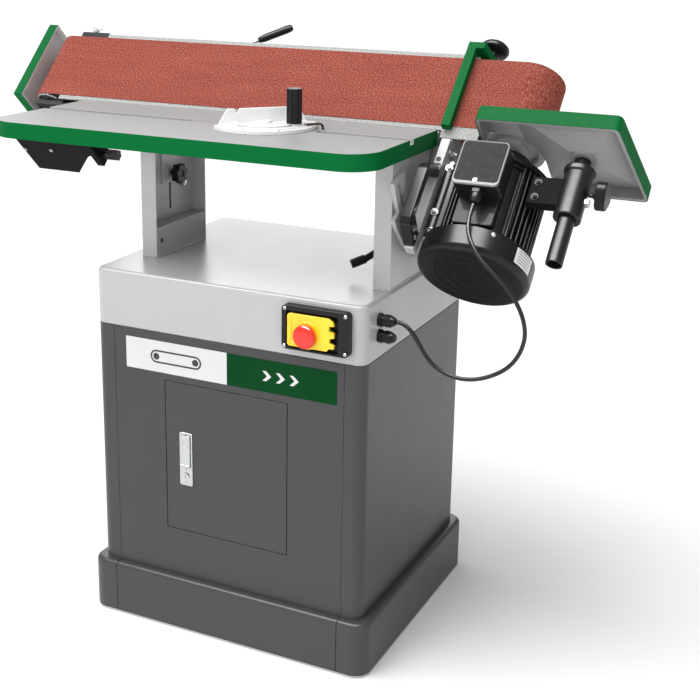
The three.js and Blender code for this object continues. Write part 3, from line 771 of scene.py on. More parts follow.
def build_paddle():
    low, high = extent("lock_paddle", STAND)
    x = (low.x + high.x) / 2
    leaf = prism(rounded(low.x, high.x, low.z + 2, high.z, 2.5), high.y - 1.9, high.y, "xz")
    pivot = moved(rod(2, low.x, high.x, 16, "x"), at(0, high.y - 2.1, low.z + 1))
    dish = moved(rod(6.5, -3, 0.8, 32, "y"), at(x, high.y - 1.9, high.z - 14))
    stand_in("lock_paddle", together(cut(leaf, dish), pivot), STAND, soft=0.4)


# ---- switch and glands ----
def build_switch():
    low, high = extent("switch_plate", STAND)
    plate = prism(rounded(low.x, high.x, low.z, high.z, 8), low.y, high.y, "xz")
    recess = prism(rounded(low.x + 9, high.x - 19, low.z + 4.5, high.z - 9, 4), low.y - 2, low.y + 9, "xz")
    start = middle("start_button", STAND)
    hole = moved(rod(10, low.y - 2, high.y + 2, 32, "y"), at(start.x, 0, start.z))
    stand_in("switch_plate", cut(plate, recess, hole), STAND, soft=1.6, steps=3)
    corners = [(x, low.y + 0.4, z) for x in (low.x + 6, high.x - 6) for z in (low.z + 6, high.z - 6)]
    # The lower left screw sits a little nearer its corner than the others.
    corners[0] = (low.x + 5.2, low.y + 0.4, low.z + 5.2)
    fasteners("switch_screws", lambda: pan_screw(3.1, 1.8), corners, (0, -1, 0), STAND, "stand", soft=0)
    dress("switch_body", 0.6)
    button = turned([(0, -7), (7.4, -7), (8.8, -5.8), (9, 0), (0, 0)], 32, "y")
    back = extent("start_button", STAND)[1].y
    stand_in("start_button", moved(button, at(start.x, back, start.z)), STAND, soft=0.4)
    build_flap()
    build_stop_button()


def build_flap():
    low, high = extent("switch_flap", STAND)
    stop = middle("stop_button", STAND)
    right = high.x
    outline = [(low.x, low.z + 3), (low.x + 3, low.z), (right - 14, low.z), (right - 10, low.z + 5),
               (right - 2, low.z + 5), (right, low.z + 12), (right - 9, low.z + 15),
               (right - 9, low.z + 22), (right - 1, low.z + 24), (right - 1, low.z + 33),
               (right - 10, low.z + 35),
               (right - 10, high.z - 13), (right - 1, high.z - 12), (right - 3, high.z - 5),
               (right - 12, high.z), (low.x + 3, high.z), (low.x, high.z - 3)]
    hole = [(x, z) for x, z in circle(stop.x, stop.z, 9, 32)]
    slab = prism(outline, low.y + 1.5, high.y, "xz", holes=[hole])
    collar = moved(pipe(9.0, 23.5, low.y, high.y - 0.5, 48, "y"), at(stop.x, 0, stop.z))
    stand_in("switch_flap", together(slab, collar), STAND, soft=0.8)
    tab = prism(rounded(low.x + 1, low.x + 8, low.z + 8, high.z - 8, 3), low.y + 0.4, low.y + 2, "xz")
    piece("switch_flap_tab", tab, STAND, "switch_flap", "yellow_plastic", soft=0.5)


def build_stop_button():
    low, high = extent("stop_button", STAND)
    centre = middle("stop_button", STAND)
    front = low.y
    profile = [(0, front), (11, front), (13.4, front + 0.6), (14.4, front + 1.2), (18, front + 2),
               (20, front + 4.6), (20, front + 9.2), (19, front + 10.5), (8, front + 10.5), (8, high.y),
               (0, high.y)]
    mushroom = moved(turned(profile, 64, "y"), at(centre.x, 0, centre.z))
    groove = moved(block(-8, 8, front - 1, front + 0.7, -1.3, 1.3), at(centre.x, 0, centre.z))
    stand_in("stop_button", cut(mushroom, groove), STAND, soft=0.5)


def gland_solid():
    """A cable gland along +X: a hex base, a hex cap and a tapered rubber nose."""
    base = prism(circle(0, 0, 12.2, 6), 0, 7)
    neck = rod(9.6, 6, 12, 32)
    cap = prism(circle(0, 0, 11.4, 6), 11, 21)
    nose = turned([(4, 18), (9.4, 18), (9.4, 22), (8, 26), (5.6, 29.8), (4, 29.8)], 32, closed=True)
    return moved(together(base, neck, cap, nose), turn(90, "Y"))


def build_glands():
    for name in ("cable_gland_upper", "cable_gland_lower"):
        low = extent(name, STAND)[0]
        centre = middle(name, STAND)
        stand_in(name, moved(gland_solid(), at(low.x, centre.y, centre.z)), STAND, soft=0.5)
    high = extent("cable_gland_lower", STAND)[1]
    plug = moved(rod(4, high.x - 8, high.x - 1, 20, "x"), at(0, centre.y, centre.z))
    piece("gland_plug", plug, STAND, "stand", "black_plastic", soft=0.4)


# ---- columns ----
def build_columns():
    for name in ("column_left", "column_right"):
        dress(name, 1.6, 3)
    for name in ("column_plate_left", "table_bracket_left", "table_bracket_right"):
        dress(name, 0.8)
    left_low, left_high = extent("column_left", STAND)
    right_low, right_high = extent("column_right", STAND)
    z = left_low.z + 1
    welds = [
        ("weld_left_front", (left_low.x + 2, left_low.y, z), (left_high.x - 1, left_low.y, z)),
        ("weld_left_plate", (left_high.x, left_low.y + 4, z), (left_high.x, left_high.y - 4, z)),
        ("weld_left_web", (left_low.x, left_low.y + 4, z), (left_low.x, left_high.y - 4, z)),
        ("weld_left_back", (left_low.x + 2, left_high.y, z), (left_high.x - 1, left_high.y, z)),
        ("weld_right_front", (right_low.x + 1, right_low.y, z), (right_high.x - 3, right_low.y, z)),
        ("weld_right_web", (right_high.x - 0.5, right_low.y + 5, z),
         (right_high.x - 0.5, right_high.y - 5, z)),
        ("weld_right_back", (right_low.x + 1, right_high.y, z), (right_high.x - 3, right_high.y, z)),
    ]
    slide = block(left_low.x - 1.6, left_low.x - 0.1, 186, 208, 730, 826)
    piece("column_slot_slide", slide, STAND, "stand", "black_paint", soft=0.3, look=HOOD_BLACK)
    for seed, (name, start, end) in enumerate(welds):
        weld_bead(name, start, end, seed)


# ---- table ----
TABLE_CORNER = 58
TABLE_BACK_CORNER = 6
SLOT_HALF_WIDTH = 9.5
SLOT_DEPTH = 9


def table_loop(inset):
    x0, x1 = TABLE_LOW.x + inset, TABLE_HIGH.x - inset
    y0, y1 = TABLE_LOW.y + inset, TABLE_HIGH.y - inset
    corner = TABLE_CORNER - inset
    back = TABLE_BACK_CORNER - inset
    return (arc(x1 - corner, y0 + corner, corner, -90, 0, 20)
            + arc(x1 - back, y1 - back, back, 0, 90, 5)
            + arc(x0 + back, y1 - back, back, 90, 180, 5)
            + arc(x0 + corner, y0 + corner, corner, 180, 270, 20))


def mitre_slot():
    """The tool that cuts the gauge's slot along the table."""
    return block(TABLE_LOW.x - 5, TABLE_HIGH.x + 5, SWIVEL.y - SLOT_HALF_WIDTH, SWIVEL.y + SLOT_HALF_WIDTH,
                 TABLE_HIGH.z - SLOT_DEPTH, TABLE_HIGH.z + 2)


def build_table():
    edge = 1.6
    low, high = TABLE_LOW.z, TABLE_HIGH.z
    slab = prism(table_loop(edge + 0.02), low + 0.4, high)
    pockets = []
    for x0, x1 in ((-466, -362), (-354, -262), (-150, -4), (4, 150)):
        front = 40 if x0 < -400 else TABLE_LOW.y + 10
        outline = rounded(x0, x1, front, TABLE_HIGH.y - 10, 6, 5)
        pockets.append(prism(outline, low - 2, high - 16))
    stand_in("table_top", cut(slab, mitre_slot(), *pockets), STAND, soft=0.7)
    ring = hoop(table_loop(0), table_loop(edge), low, high - 0.15)
    piece("table_green_edge", cut(ring, mitre_slot()), STAND, "stand", "green_paint", soft=1.1, steps=3)


def lobed(radius, lobes, depth=0.1, steps=12):
    """A knob's outline with round lobes."""
    points = []
    for i in range(lobes * steps):
        angle = math.tau * i / (lobes * steps)
        reach = radius * (1 - depth + depth * math.cos(angle * lobes))
        points.append((reach * math.cos(angle), reach * math.sin(angle)))
    return points


def star_knob(radius, lobes, height, neck):
    """A lobed grip with a dimple in its end, on a neck, along +Z."""
    top = neck + height
    dimple = turned([(0, top - 2), (radius * 0.3, top - 1.4), (radius * 0.36, top + 2), (0, top + 2)], 24)
    grip = cut(prism(lobed(radius, lobes), neck, top), dimple)
    profile = [(0, -9), (4, -9), (4, 0), (radius * 0.48, 0), (radius * 0.42, neck + 1), (0, neck + 1)]
    return together(grip, turned(profile, 28))


def build_table_hardware():
    low = extent("table_knob", STAND)[0]
    centre = middle("table_knob", STAND)
    place = at(low.x + 10, centre.y, centre.z) @ turn(90, "Y")
    stand_in("table_knob", moved(star_knob(19, 7, 14, 6), place), STAND, soft=1.6, steps=3)
    dress("tilt_stud", 0.5)
    dress("tilt_lock_lever", 1.4, 3)


# ---- mitre gauge ----
def build_mitre_gauge():
    dress("mitre_bar", 0.4, look=BAR_STEEL)
    radius = 92.0
    disc = arc(0, 0, radius, 180, 360, 60) + [(radius - 18, 16), (-radius + 18, 16)]
    plate = prism(disc, 0.4, 7.9)
    slot = prism(band(58, 5.2, 205, 335), -2, 12)
    step = hoop(circle(0, 0, radius + 4, 96), circle(0, 0, 78, 96), 6.1, 9)
    plate = cut(plate, slot, step)
    wall_outline = [(-80, 6, 1), (80, 6, 1), (66, 32, 3), (-42, 32, 1.5), (-44, 25, 1.5), (-50, 25, 1.5),
                    (-52, 32, 1.5), (-64, 32, 3)]
    wall = prism(filleted(wall_outline), 8, 16, "xz")
    boss = rod(13, 6.5, 11.5, 40)
    ribs = [prism([(x - 2, -8), (x + 2, -8), (x + 2, 9), (x - 2, 9)], 6.5, 11) for x in (-50, 50)]
    lugs = []
    for angle in (228, 268):
        lugs.append(moved(rod(3.0, 0.6, 9.0, 20), at(*polar(radius - 3.2, angle), 0)))
    solid = together(plate, wall, boss, *ribs, *lugs, rod(4, -7, 8, 20))
    stand_in("mitre_head", solid, GAUGE, soft=0.7, steps=2)
    spot = middle("mitre_handle", STAND)
    grip = prism(lobed(14, 8, 0.07), 10.5, 71)
    collar = turned([(0, 8.2), (11.5, 8.2), (11.5, 10.4), (0, 10.4)], 32)
    handle_space = STAND @ at(spot.x, spot.y, TABLE_HIGH.z)
    stand_in("mitre_handle", together(grip, rod(3.4, -7, 11, 20)), handle_space, soft=0.8)
    piece("mitre_handle_washer", collar, handle_space, "mitre_handle", "gauge_metal", soft=0.5)
    build_stop_pin()


def build_stop_pin():
    """The bent stop pin at the gauge's right end."""
    path = smooth_path([(58, -44, 7.5), (70, -50, 9), (80, -57, 10.5), (84, -60, 9.5), (86, -61.5, 6),
                        (86.4, -61.8, 1)])
    pin = sweep(path, [2.1] * len(path), 14)
    piece("mitre_stop_pin", pin, GAUGE, "mitre_head", "black_plastic", soft=0)


# ---- belt, platen and frame ----
def belt_loop(inset):
    """The belt's run round the drum and the idler, pulled in by an inset."""
    steps = 40
    low, high = extent("sanding_belt", HEAD)
    drum = high.x - DRUM.x - inset
    idler = IDLER.x - low.x - inset
    rise = math.degrees(2 * math.atan2(DRUM.y - IDLER.y, DRUM.x - IDLER.x))
    return (arc(DRUM.x, DRUM.y, drum, -90, 90 + rise, steps)
            + arc(IDLER.x, IDLER.y, idler, 90 + rise, 270, steps))


def build_platen():
    """The graphite cloth behind the belt, folded round the frame's front."""
    low, high = extent("platen_pad", HEAD)
    top, shoulder = high.z, 158.0
    outline = [(low.x, 0.5), (276, 0.5), (276, low.z), (high.x, low.z), (high.x, shoulder), (279, shoulder),
               (279, top), (-500, top), (-500, shoulder), (low.x, shoulder)]
    stand_in("platen_pad", prism(outline, low.y, high.y, "xz"), HEAD, soft=0.4)


def build_belt():
    low, high = extent("sanding_belt", HEAD)
    thick = 1.2
    solid = hoop(belt_loop(0), belt_loop(thick), low.z, high.z)
    stand_in("sanding_belt", solid, HEAD, soft=0.3, steps=1, angle=50)
    build_platen()
    dress("head_frame", 1.0)
    dress("trunnion_plate", 1.0)
    dress("motor_bracket", 1.2, 3)


# ---- drive drum, motor and terminal box ----
def build_drum():
    low, high = extent("drive_drum", MOTOR)
    radius = high.x
    profile = [(14.5, low.z + 0.5), (30, low.z + 0.5), (32, low.z + 8), (46, low.z + 8), (48, low.z),
               (radius - 1.5, low.z), (radius, low.z + 1.5), (radius, high.z - 2), (radius - 2, high.z),
               (48, high.z), (46, high.z - 10), (24, high.z - 10), (22, high.z), (14.5, high.z)]
    stand_in("drive_drum", turned(profile, 96, closed=True), MOTOR, soft=0.6, look=DRUM_ALLOY)
    dress("motor_rotor", 0.8)
    dress("motor_fan", 0.5)
    shaft_end = extent("motor_rotor", MOTOR)[1].z
    piece("drum_bolt", moved(hex_bolt(19, 8), at(0, 0, shaft_end)), MOTOR, "drive", "steel", soft=0.5)


def fin_outline(core, tip, gap_start, gap_end):
    """A barrel's outline with cooling fins, left plain over one span of angles."""
    pitch = 7.5
    points = []
    count = round(360 / pitch)
    for i in range(count):
        angle = i * pitch
        if gap_start < angle < gap_end:
            points += arc(0, 0, core + 2, angle, angle + pitch * 0.99, 3)
            continue
        points += arc(0, 0, core, angle, angle + pitch * 0.52, 2)
        points += arc(0, 0, tip, angle + pitch * 0.6, angle + pitch * 0.88, 2)
    return points


def build_housing():
    low, high = extent("motor_housing", MOTOR)
    core, tip = 73.0, 82.5
    bore = circle(0, 0, 56, 64)
    barrel = prism(fin_outline(core, tip, 236, 304), low.z, high.z, holes=[bore])
    ends = [pipe(57, 79, low.z + 0.2, low.z + 5, 72), pipe(57, 79, high.z - 6, high.z - 0.2, 72)]
    box_low, box_high = extent("terminal_box", MOTOR)
    outline = rounded(box_low.x + 4, box_high.x - 4, low.z + 2, high.z - 4, 6)
    saddle = prism(outline, box_high.y + 0.4, -66, "xz")
    stand_in("motor_housing", together(barrel, *ends), MOTOR, soft=0.7)
    piece("motor_saddle", saddle, MOTOR, "head", "black_paint", soft=2.0, steps=3, look=ROUGH_BLACK)
    foot_x = low.x + 12
    feet_y = (-45, 44)
    rails = []
    for y in feet_y:
        rails.append(moved(rod(10.5, low.z + 5, high.z - 5, 40), at(foot_x, y, 0)))
        rails.append(block(low.x + 0.2, low.x + 44, y - 6, y + 6, low.z + 6, high.z - 6))
    piece("motor_feet", together(*rails), MOTOR, "head", "black_paint", soft=1.0, look=SATIN_BLACK)
    ends = [(foot_x, y, low.z + 4.8) for y in feet_y]
    fasteners("motor_foot_bolts", lambda: hex_bolt(11, 6), ends, (0, 0, -1), MOTOR, "head")
    fronts = [(foot_x, -55, z) for z in (low.z + 34, high.z - 14)]
    fasteners("motor_foot_studs", lambda: hex_bolt(8, 5), fronts, (0, -1, 0), MOTOR, "head")
    tops = [(foot_x, y, high.z - 4.8) for y in feet_y]
    fasteners("motor_foot_nuts", lambda: hex_bolt(11, 6), tops, (0, 0, 1), MOTOR, "head")


def build_shields():
    low, high = extent("motor_front_shield", MOTOR)
    radius = high.x
    profile = [(16, low.z), (radius, low.z), (radius, low.z + 7), (radius - 3, low.z + 10), (62, low.z + 12),
               (52, low.z + 14), (46, low.z + 22), (43, high.z - 3), (40, high.z), (16, high.z)]
    stand_in("motor_front_shield", turned(profile, 80, closed=True), MOTOR, soft=1.0, look=ROUGH_BLACK)
    bolts = [(*polar(76, angle), low.z + 10.5) for angle in (20, 110, 200, 290)]
    fasteners("shield_bolts", lambda: hex_bolt(10, 4.5), bolts, (0, 0, 1), MOTOR, "head")
    low, high = extent("motor_rear_shield", MOTOR)
    stand_in("motor_rear_shield", pipe(12, high.x, low.z, high.z, 80), MOTOR, soft=1.0, look=ROUGH_BLACK)


def build_fan_cover():
    low, high = extent("fan_cover", MOTOR)
    radius, end, mouth = high.x, low.z, high.z
    bend = 11.0
    sheet = 2
    outer = arc(radius - bend, end + bend, bend, -90, 0, 10)
    inner = arc(radius - bend, end + bend, bend - sheet, 0, -90, 10)
    rim = [(radius, mouth), (radius - sheet, mouth)]
    profile = [(0, end)] + outer + rim + inner + [(0, end + sheet)]
    shell = turned(profile, 96)
    slots = []
    for ring, count in ((30, 4), (48, 6), (66, 8)):
        # Each ring's slots leave bridges of the same width between them.
        bridge = 260 / ring
        for i in range(count):
            start, finish = 360 * i / count + bridge, 360 * (i + 1) / count - bridge
            slots.append(prism(band(ring, 0.9, start, finish, 8), end - 2, end + 0.9))
    stand_in("fan_cover", cut(shell, *slots), MOTOR, soft=0.5, angle=40, look=GLOSS_BLACK)
    screws = []
    for angle in (-152, -62, 28, 118):
        spot = (*polar(radius - 0.3, angle), mouth - 6)
        screws.append(aimed(pan_screw(4, 2.6), spot, (*polar(1, angle), 0)))
    piece("fan_cover_screws", together(*screws), MOTOR, "head", "steel", soft=0)
    build_rating_plate(radius, mouth)


def build_rating_plate(radius, mouth):
    """The blank silver plate on the fan cover's right side."""
    outline_in = arc(0, 0, radius + 0.1, -34, -8, 10)
    outline_out = arc(0, 0, radius + 0.6, -8, -34, 10)
    plate = prism(outline_in + outline_out, mouth - 33, mouth - 5)
    piece("rating_plate", plate, MOTOR, "head", "gauge_metal", soft=0)
    lines = []
    for i in range(5):
        z = mouth - 29 + i * 5
        stroke = arc(0, 0, radius + 0.55, -31, -12, 8) + arc(0, 0, radius + 0.7, -12, -31, 8)
        lines.append(prism(stroke, z, z + 1))
    piece("rating_plate_lines", together(*lines), MOTOR, "head", "black_plastic", soft=0, look=LABEL_INK)


def build_terminal_box():
    low, high = extent("terminal_box", MOTOR)
    base = prism(rounded(low.x, high.x, low.z, high.z, 7), low.y, high.y, "xz")
    stand_in("terminal_box", base, MOTOR, soft=1.2, steps=3, look=ROUGH_BLACK)
    low, high = extent("terminal_lid", MOTOR)
    field = rounded(low.x + 3, high.x - 3, low.z + 7, high.z - 3, 6)
    lid = prism(field, low.y + 0.6, high.y, "xz")
    stand_in("terminal_lid", lid, MOTOR, soft=0.6, look=LID_METAL)
    # The rim's grey band, widest along the bottom, is a painted reflection of the floor.
    rim = hoop(rounded(low.x, high.x, low.z, high.z, 9), field, low.y, high.y, "xz")
    piece("terminal_lid_rim", rim, MOTOR, "head", "black_paint", soft=1.5, steps=4, look=LID_RIM_PAINTED_REFLECTION)
    spot = ((low.x + high.x) / 2, low.y + 0.6, low.z + 8)
    fasteners("terminal_lid_screw", lambda: pan_screw(5, 3.2), [spot], (0, -1, 0), MOTOR, "head", soft=0)
    low, high = extent("terminal_gland", MOTOR)
    centre = middle("terminal_gland", MOTOR)
    nut = prism(circle(0, 0, 12, 6), high.z - 9, high.z)
    nose = turned([(4, low.z), (6.4, low.z), (8.6, low.z + 6), (9.6, low.z + 10), (9.6, high.z - 8),
                   (4, high.z - 8)], 32, closed=True)
    nut = cut(nut, rod(4, high.z - 20, high.z + 2, 20))
    stand_in("terminal_gland", moved(together(nut, nose), at(centre.x, centre.y, 0)), MOTOR, soft=0.5)


def build_handle():
    """A bent box-section grip with a flat eye at each end."""
    low, high = extent("tilt_handle", HEAD)
    x = (low.x + high.x) / 2
    front, back, top = low.y, high.y, high.z - 12
    corners = [(back, top, 2), (back, top - 24, 2), (front + 15, top - 48, 12), (front + 15, low.z + 40, 12),
               (back, low.z + 27, 2), (back, low.z, 2), (back - 9, low.z, 3), (front + 7, low.z + 13, 8),
               (front, low.z + 24, 6), (front, top - 40, 10), (front + 6, top - 30, 6), (back - 9, top, 3)]
    grip = prism(filleted(corners, 6), x - 9, x + 9, "yz")
    stand_in("tilt_handle", grip, HEAD, soft=5.0, steps=5, look=SATIN_BLACK)
    spots = [(x + 8.6, back - 8, top - 9), (x + 8.6, back - 10, low.z + 13)]
    fasteners("handle_screws", lambda: cap_screw(4.6, 1.2), spots, (1, 0, 0), HEAD, "head")


def build_bracket_bolts():
    low, high = extent("motor_bracket", HEAD)
    edge_low = extent("tilt_handle", HEAD)[0].x + 3.2
    # A thin pale strip over the bracket's front edge: a painted highlight, bright where the handle shades the
    # edge.
    strip = block(edge_low, high.x - 0.3, -3.25, -3.03, low.z + 1, -21)
    piece("bracket_edge_painted_highlight", strip, HEAD, "head", "light_paint", soft=0, look=GREY_WITH_PAINTED_LIGHT)
    edge = [(high.x - 9, -3.2, -64)]
    fasteners("bracket_edge_bolts", lambda: cap_screw(4.4, 1.6), edge, (0, -1, 0), HEAD, "head",
              slot="black_plastic")
    side = [(high.x, 22, -36), (high.x, 40, -236), (high.x, 95, -60)]
    fasteners("bracket_side_bolts", lambda: hex_bolt(13, 7), side, (1, 0, 0), HEAD, "head")
    left = extent("trunnion_plate", HEAD)[0].x
    spots = [(left, 20, -14), (left, 44, -14)]
    fasteners("trunnion_bolts", lambda: hex_bolt(13, 6), spots, (-1, 0, 0), HEAD, "head")


# ---- end table ----
END_TAPER = 28.0
RELIEF_RADIUS = 68


def end_plan(low, high, inset, radius):
    """The end table's outline, with its slanted right edge."""
    x0, x1 = low.x + inset, high.x - inset
    y0, y1 = low.y + inset, high.y - inset
    return filleted([(x0, y0, radius), (x1 - END_TAPER, y0, radius), (x1, y1, radius), (x0, y1, radius)], 8)


def end_pyramid(low, high, post):
    """The four-sided taper that carries the plate down to the post's boss."""
    y0, y1 = low.y + 6.5, high.y - 6.5
    wide = [(post.x - 120, y0), (high.x - END_TAPER - 7, y0), (high.x - 7, y1), (post.x - 90, y1)]
    narrow = [(post.x + 21 * x, post.y + 21 * y) for x, y in ((-1, -1), (1, -1), (1, 1), (-1, 1))]
    levels = ((wide, -3), (wide, -4.5), (narrow, -37))
    return stack([[(x, y, z) for x, y in outline] for outline, z in levels])


def build_end_table():
    low, high = extent("end_table", HEAD)
    post = middle("end_table_post", HEAD)
    skin = 1.5
    plate = cut(prism(end_plan(low, high, skin, 10.5), -4, 0), relief(low, high))
    rim = hoop(end_plan(low, high, skin + 0.02, 10.5), end_plan(low, high, 7, 8), -27.6, -0.02)
    rim = cut(rim, relief(low, high))
    pyramid = cut(end_pyramid(low, high, post), relief(low, high))
    boss = moved(rod(22, -40, -20, 48), at(post.x, post.y, 0))
    stand_in("end_table", plate, HEAD, soft=0.5, steps=2)
    # The underside is darker than the top, from its own grey and from painted shade.
    under = together(rim, pyramid, boss)
    piece("end_table_underside", under, HEAD, "end_table", "table_paint", soft=0.5, look=UNDERSIDE_GREY_AND_SHADE)
    edge = hoop(end_plan(low, high, 0, 12), end_plan(low, high, skin, 10.5), -28, -0.1)
    edge = cut(edge, relief(low, high))
    piece("end_table_green_edge", edge, HEAD, "end_table", "green_paint", soft=1.0, steps=3)


def relief(low, high):
    """The tool that opens the end table round the drum and behind it."""
    drum = moved(rod(RELIEF_RADIUS, -60, 20, 96), at(DRUM.x, DRUM.y, 0))
    behind = block(low.x - 5, DRUM.x, DRUM.y - RELIEF_RADIUS, high.y + 5, -60, 20)
    corner = block(DRUM.x - 1, DRUM.x + RELIEF_RADIUS, DRUM.y, high.y + 5, -60, 20)
    return combined(combined(drum, behind, "UNION"), corner, "UNION")


def build_post():
    low, high = extent("end_table_post", HEAD)
    centre = middle("end_table_post", HEAD)
    radius = high.x - centre.x
    space = HEAD @ at(centre.x, centre.y, 0)
    tube = cut(rod(radius, low.z, high.z, 48), rod(radius - 3, low.z - 2, low.z + 40, 40))
    stand_in("end_table_post", tube, space, soft=0.5, look=SATIN_BLACK)
    low, high = extent("post_sleeve", space)
    profile = [(radius + 0.5, low.z), (22, low.z), (23, low.z + 1.5), (23, high.z - 14), (25.5, high.z - 12),
               (26.5, high.z - 4), (24, high.z), (radius + 0.5, high.z)]
    sleeve = turned(profile, 64, closed=True)
    stand_in("post_sleeve", sleeve, space, soft=0.8, look=SATIN_BLACK)
    arm = prism(rounded(low.x, -14, -4, 16, 4), -132, -80)
    piece("post_sleeve_arm", arm, space, "head", "black_paint", soft=0.8, look=HOOD_BLACK)
    spots = [(low.x + 14, -4, z) for z in (-120, -92)]
    fasteners("sleeve_bolts", lambda: hex_bolt(8, 4), spots, (0, -1, 0), space, "head", slot="black_plastic")
    build_post_knob(space)


def build_post_knob(space):
    """The three-lobed clamp knob on the post's sleeve, and the nut below it."""
    nut = moved(prism(circle(0, 0, 8, 6), 22, 29), turn(90, "Y"))
    knob_z = middle("end_table_knob", space).z
    piece("sleeve_nut", moved(nut, at(0, 0, knob_z - 16)), space, "head", "steel", soft=0.5)
    grip = prism(lobed(25, 3, 0.1, 20), 38, 55)
    shank = turned([(0, 23.6), (4, 23.6), (4, 33), (9, 34), (8, 41), (0, 41)], 28)
    knob = moved(together(grip, shank), turn(90, "Y"))
    stand_in("end_table_knob", moved(knob, at(0, 0, knob_z)), space, soft=3.0, steps=4)


# ---- stop fence ----
def build_fence():
    dress("stop_fence", 1.2, 3)
    centre = middle("stop_knob", HEAD)
    base = extent("stop_knob", HEAD)[0].z
    profile = [(0, 0), (9, 0), (9, 14.4), (22, 17.4), (25.5, 20), (27, 24), (26.2, 28), (23, 31.5),
               (16, 34.4), (8, 35.7), (0, 36)]
    stand_in("stop_knob", moved(turned(profile, 72), at(centre.x, centre.y, base)), HEAD, soft=0.6)


# ---- idler end ----
def build_idler():
    low, high = extent("idler_roller", HEAD)
    radius = (high.x - low.x) / 2
    profile = [(9, low.z + 6), (14, low.z + 6), (15, low.z + 9), (radius - 5, low.z + 9), (radius - 4, low.z),
               (radius - 1, low.z), (radius, low.z + 1), (radius, high.z - 1), (radius - 1, high.z),
               (radius - 4, high.z), (radius - 5, high.z - 9), (15, high.z - 9), (14, high.z - 6),
               (9, high.z - 6)]
    roller = moved(turned(profile, 72, closed=True), at(IDLER.x, IDLER.y, 0))
    stand_in("idler_roller", roller, HEAD, soft=0.5)
    dress("idler_shaft", 0.6)
    dress("idler_carriage", 1.5, 3)
    build_spring()
    build_wing_screw()
    build_tension_lever()


def build_spring():
    low, high = extent("tension_spring", HEAD)
    centre = middle("tension_spring", HEAD)
    turns, per_turn = 9, 16
    coil_radius, wire_radius, inset = 11, 1.5, 1.6
    path = []
    for i in range(turns * per_turn + 1):
        angle = math.tau * i / per_turn
        x = low.x + inset + (high.x - low.x - 2 * inset) * i / (turns * per_turn)
        path.append((x, centre.y + coil_radius * math.cos(angle), centre.z + coil_radius * math.sin(angle)))
    stand_in("tension_spring", sweep(path, [wire_radius] * len(path), 10), HEAD, soft=0)


def build_wing_screw():
    low, high = extent("idler_carriage", HEAD)
    top = high.z
    stem = rod(3.4, top - 2, top + 20, 20)
    hub = turned([(0, top + 9), (6, top + 9), (5, top + 18), (0, top + 19)], 24)
    wing = [(5, top + 12), (13, top + 22), (11, top + 26), (3, top + 17)]
    wings = prism([(-x, z) for x, z in wing] + wing[::-1], -1.3, 1.3, "xz")
    washer = rod(9, top, top + 1.6, 28)
    nut = prism(circle(0, 0, 7, 6), top + 1.6, top + 7)
    solid = moved(together(stem, hub, wings, washer, nut), at(low.x + 32, high.y - 13, 0))
    piece("tension_wing_screw", solid, HEAD, "idler_carriage", "steel", soft=0.5)


def build_tension_lever():
    low, high = extent("tension_lever", HEAD)
    pivot = HEAD.inverted() @ Vector(JOINTS["tension_lever_turn"]["pos_m"]) / MM
    space = HEAD @ at(pivot.x, pivot.y, pivot.z)
    boss = rod(9, low.y - pivot.y, high.y - pivot.y, 32, "y")
    stem = sweep([(4, 0, 2.4), (58, 0, 35)], [3.8, 3.8], 20)
    piece("tension_lever_rod", stem, space, "tension_lever", "steel", soft=0.3)
    path = [(52, 0, 31.4), (56, 0, 33.8), (64, 0, 38.6), (104, 0, 62.8), (111, 0, 67), (115, 0, 69.4)]
    grip = sweep(path, [4.6, 6.4, 7.6, 7.8, 7.2, 4.6], 28)
    stand_in("tension_lever", together(boss, grip), space, soft=0.6)


def build_idler_end():
    low = extent("dust_hood", HEAD)[0]
    dress("dust_hood", 1.4, 3, look=HOOD_BLACK)
    dress("tracking_knob", 1.2, 3)
    skin = 1.2
    guard_low, guard_high = extent("end_guard", HEAD)
    y0, y1, z0, z1 = guard_low.y, guard_high.y, guard_low.z, guard_high.z
    x0, x1 = guard_low.x, guard_high.x
    tray = prism(rounded(y0 + skin, y1 - skin, z0 + skin, z1 - skin, 1), x0 + skin, x1, "yz")
    hollow = prism(rounded(y0 + 5, y1 - 5, z0 + 5, z1 - 5, 2), x0 + 5, x1 + 3, "yz")
    # The guard's inside is pale grey as painted light on its shaded face.
    stand_in("end_guard", cut(tray, hollow), HEAD, soft=0.6, look=GREY_WITH_PAINTED_LIGHT)
    shell = prism(rounded(y0, y1, z0, z1, 2.2), x0, x1, "yz")
    inside = prism(rounded(y0 + skin, y1 - skin, z0 + skin, z1 - skin, 1), x0 + skin, x1 + 3, "yz")
    piece("end_guard_green_shell", cut(shell, inside), HEAD, "head", "green_paint", soft=0.5)
    spots = [(low.x + 5, low.y + 36, low.z), (low.x + 75, low.y + 30, low.z)]
    fasteners("hood_screws", lambda: pan_screw(4.4, 3), spots, (0, 0, -1), HEAD, "head", soft=0)


build_plinth()
build_cabinet()
build_cover()
build_label()
build_lock()
build_switch()
build_glands()
build_columns()
build_table()
build_table_hardware()
build_mitre_gauge()
build_belt()
build_drum()
build_housing()
build_shields()
build_fan_cover()
build_terminal_box()
build_handle()
build_bracket_bolts()
build_end_table()
build_post()
build_fence()
build_idler()
build_idler_end()


# ---- floor and light ----
def make_floor():
    bm = bmesh.new()
    size = 14.0
    corners = [(-size, -size), (size, -size), (size, size), (-size, size)]
    bm.faces.new([bm.verts.new((x, y, -0.0005)) for x, y in corners])
    mesh = mesh_of(bm, "floor")
    material, tree, shader = graph_of("floor")
    shade = tones(tree, noise(tree, 0.6, 2.0), [(0.3, (0.9, 0.9, 0.9)), (0.7, (0.92, 0.92, 0.92))])
    wired(tree, shader, Base_Color=shade, Roughness=0.8)
    mesh.materials.append(material)
    floor = linked("floor", mesh)


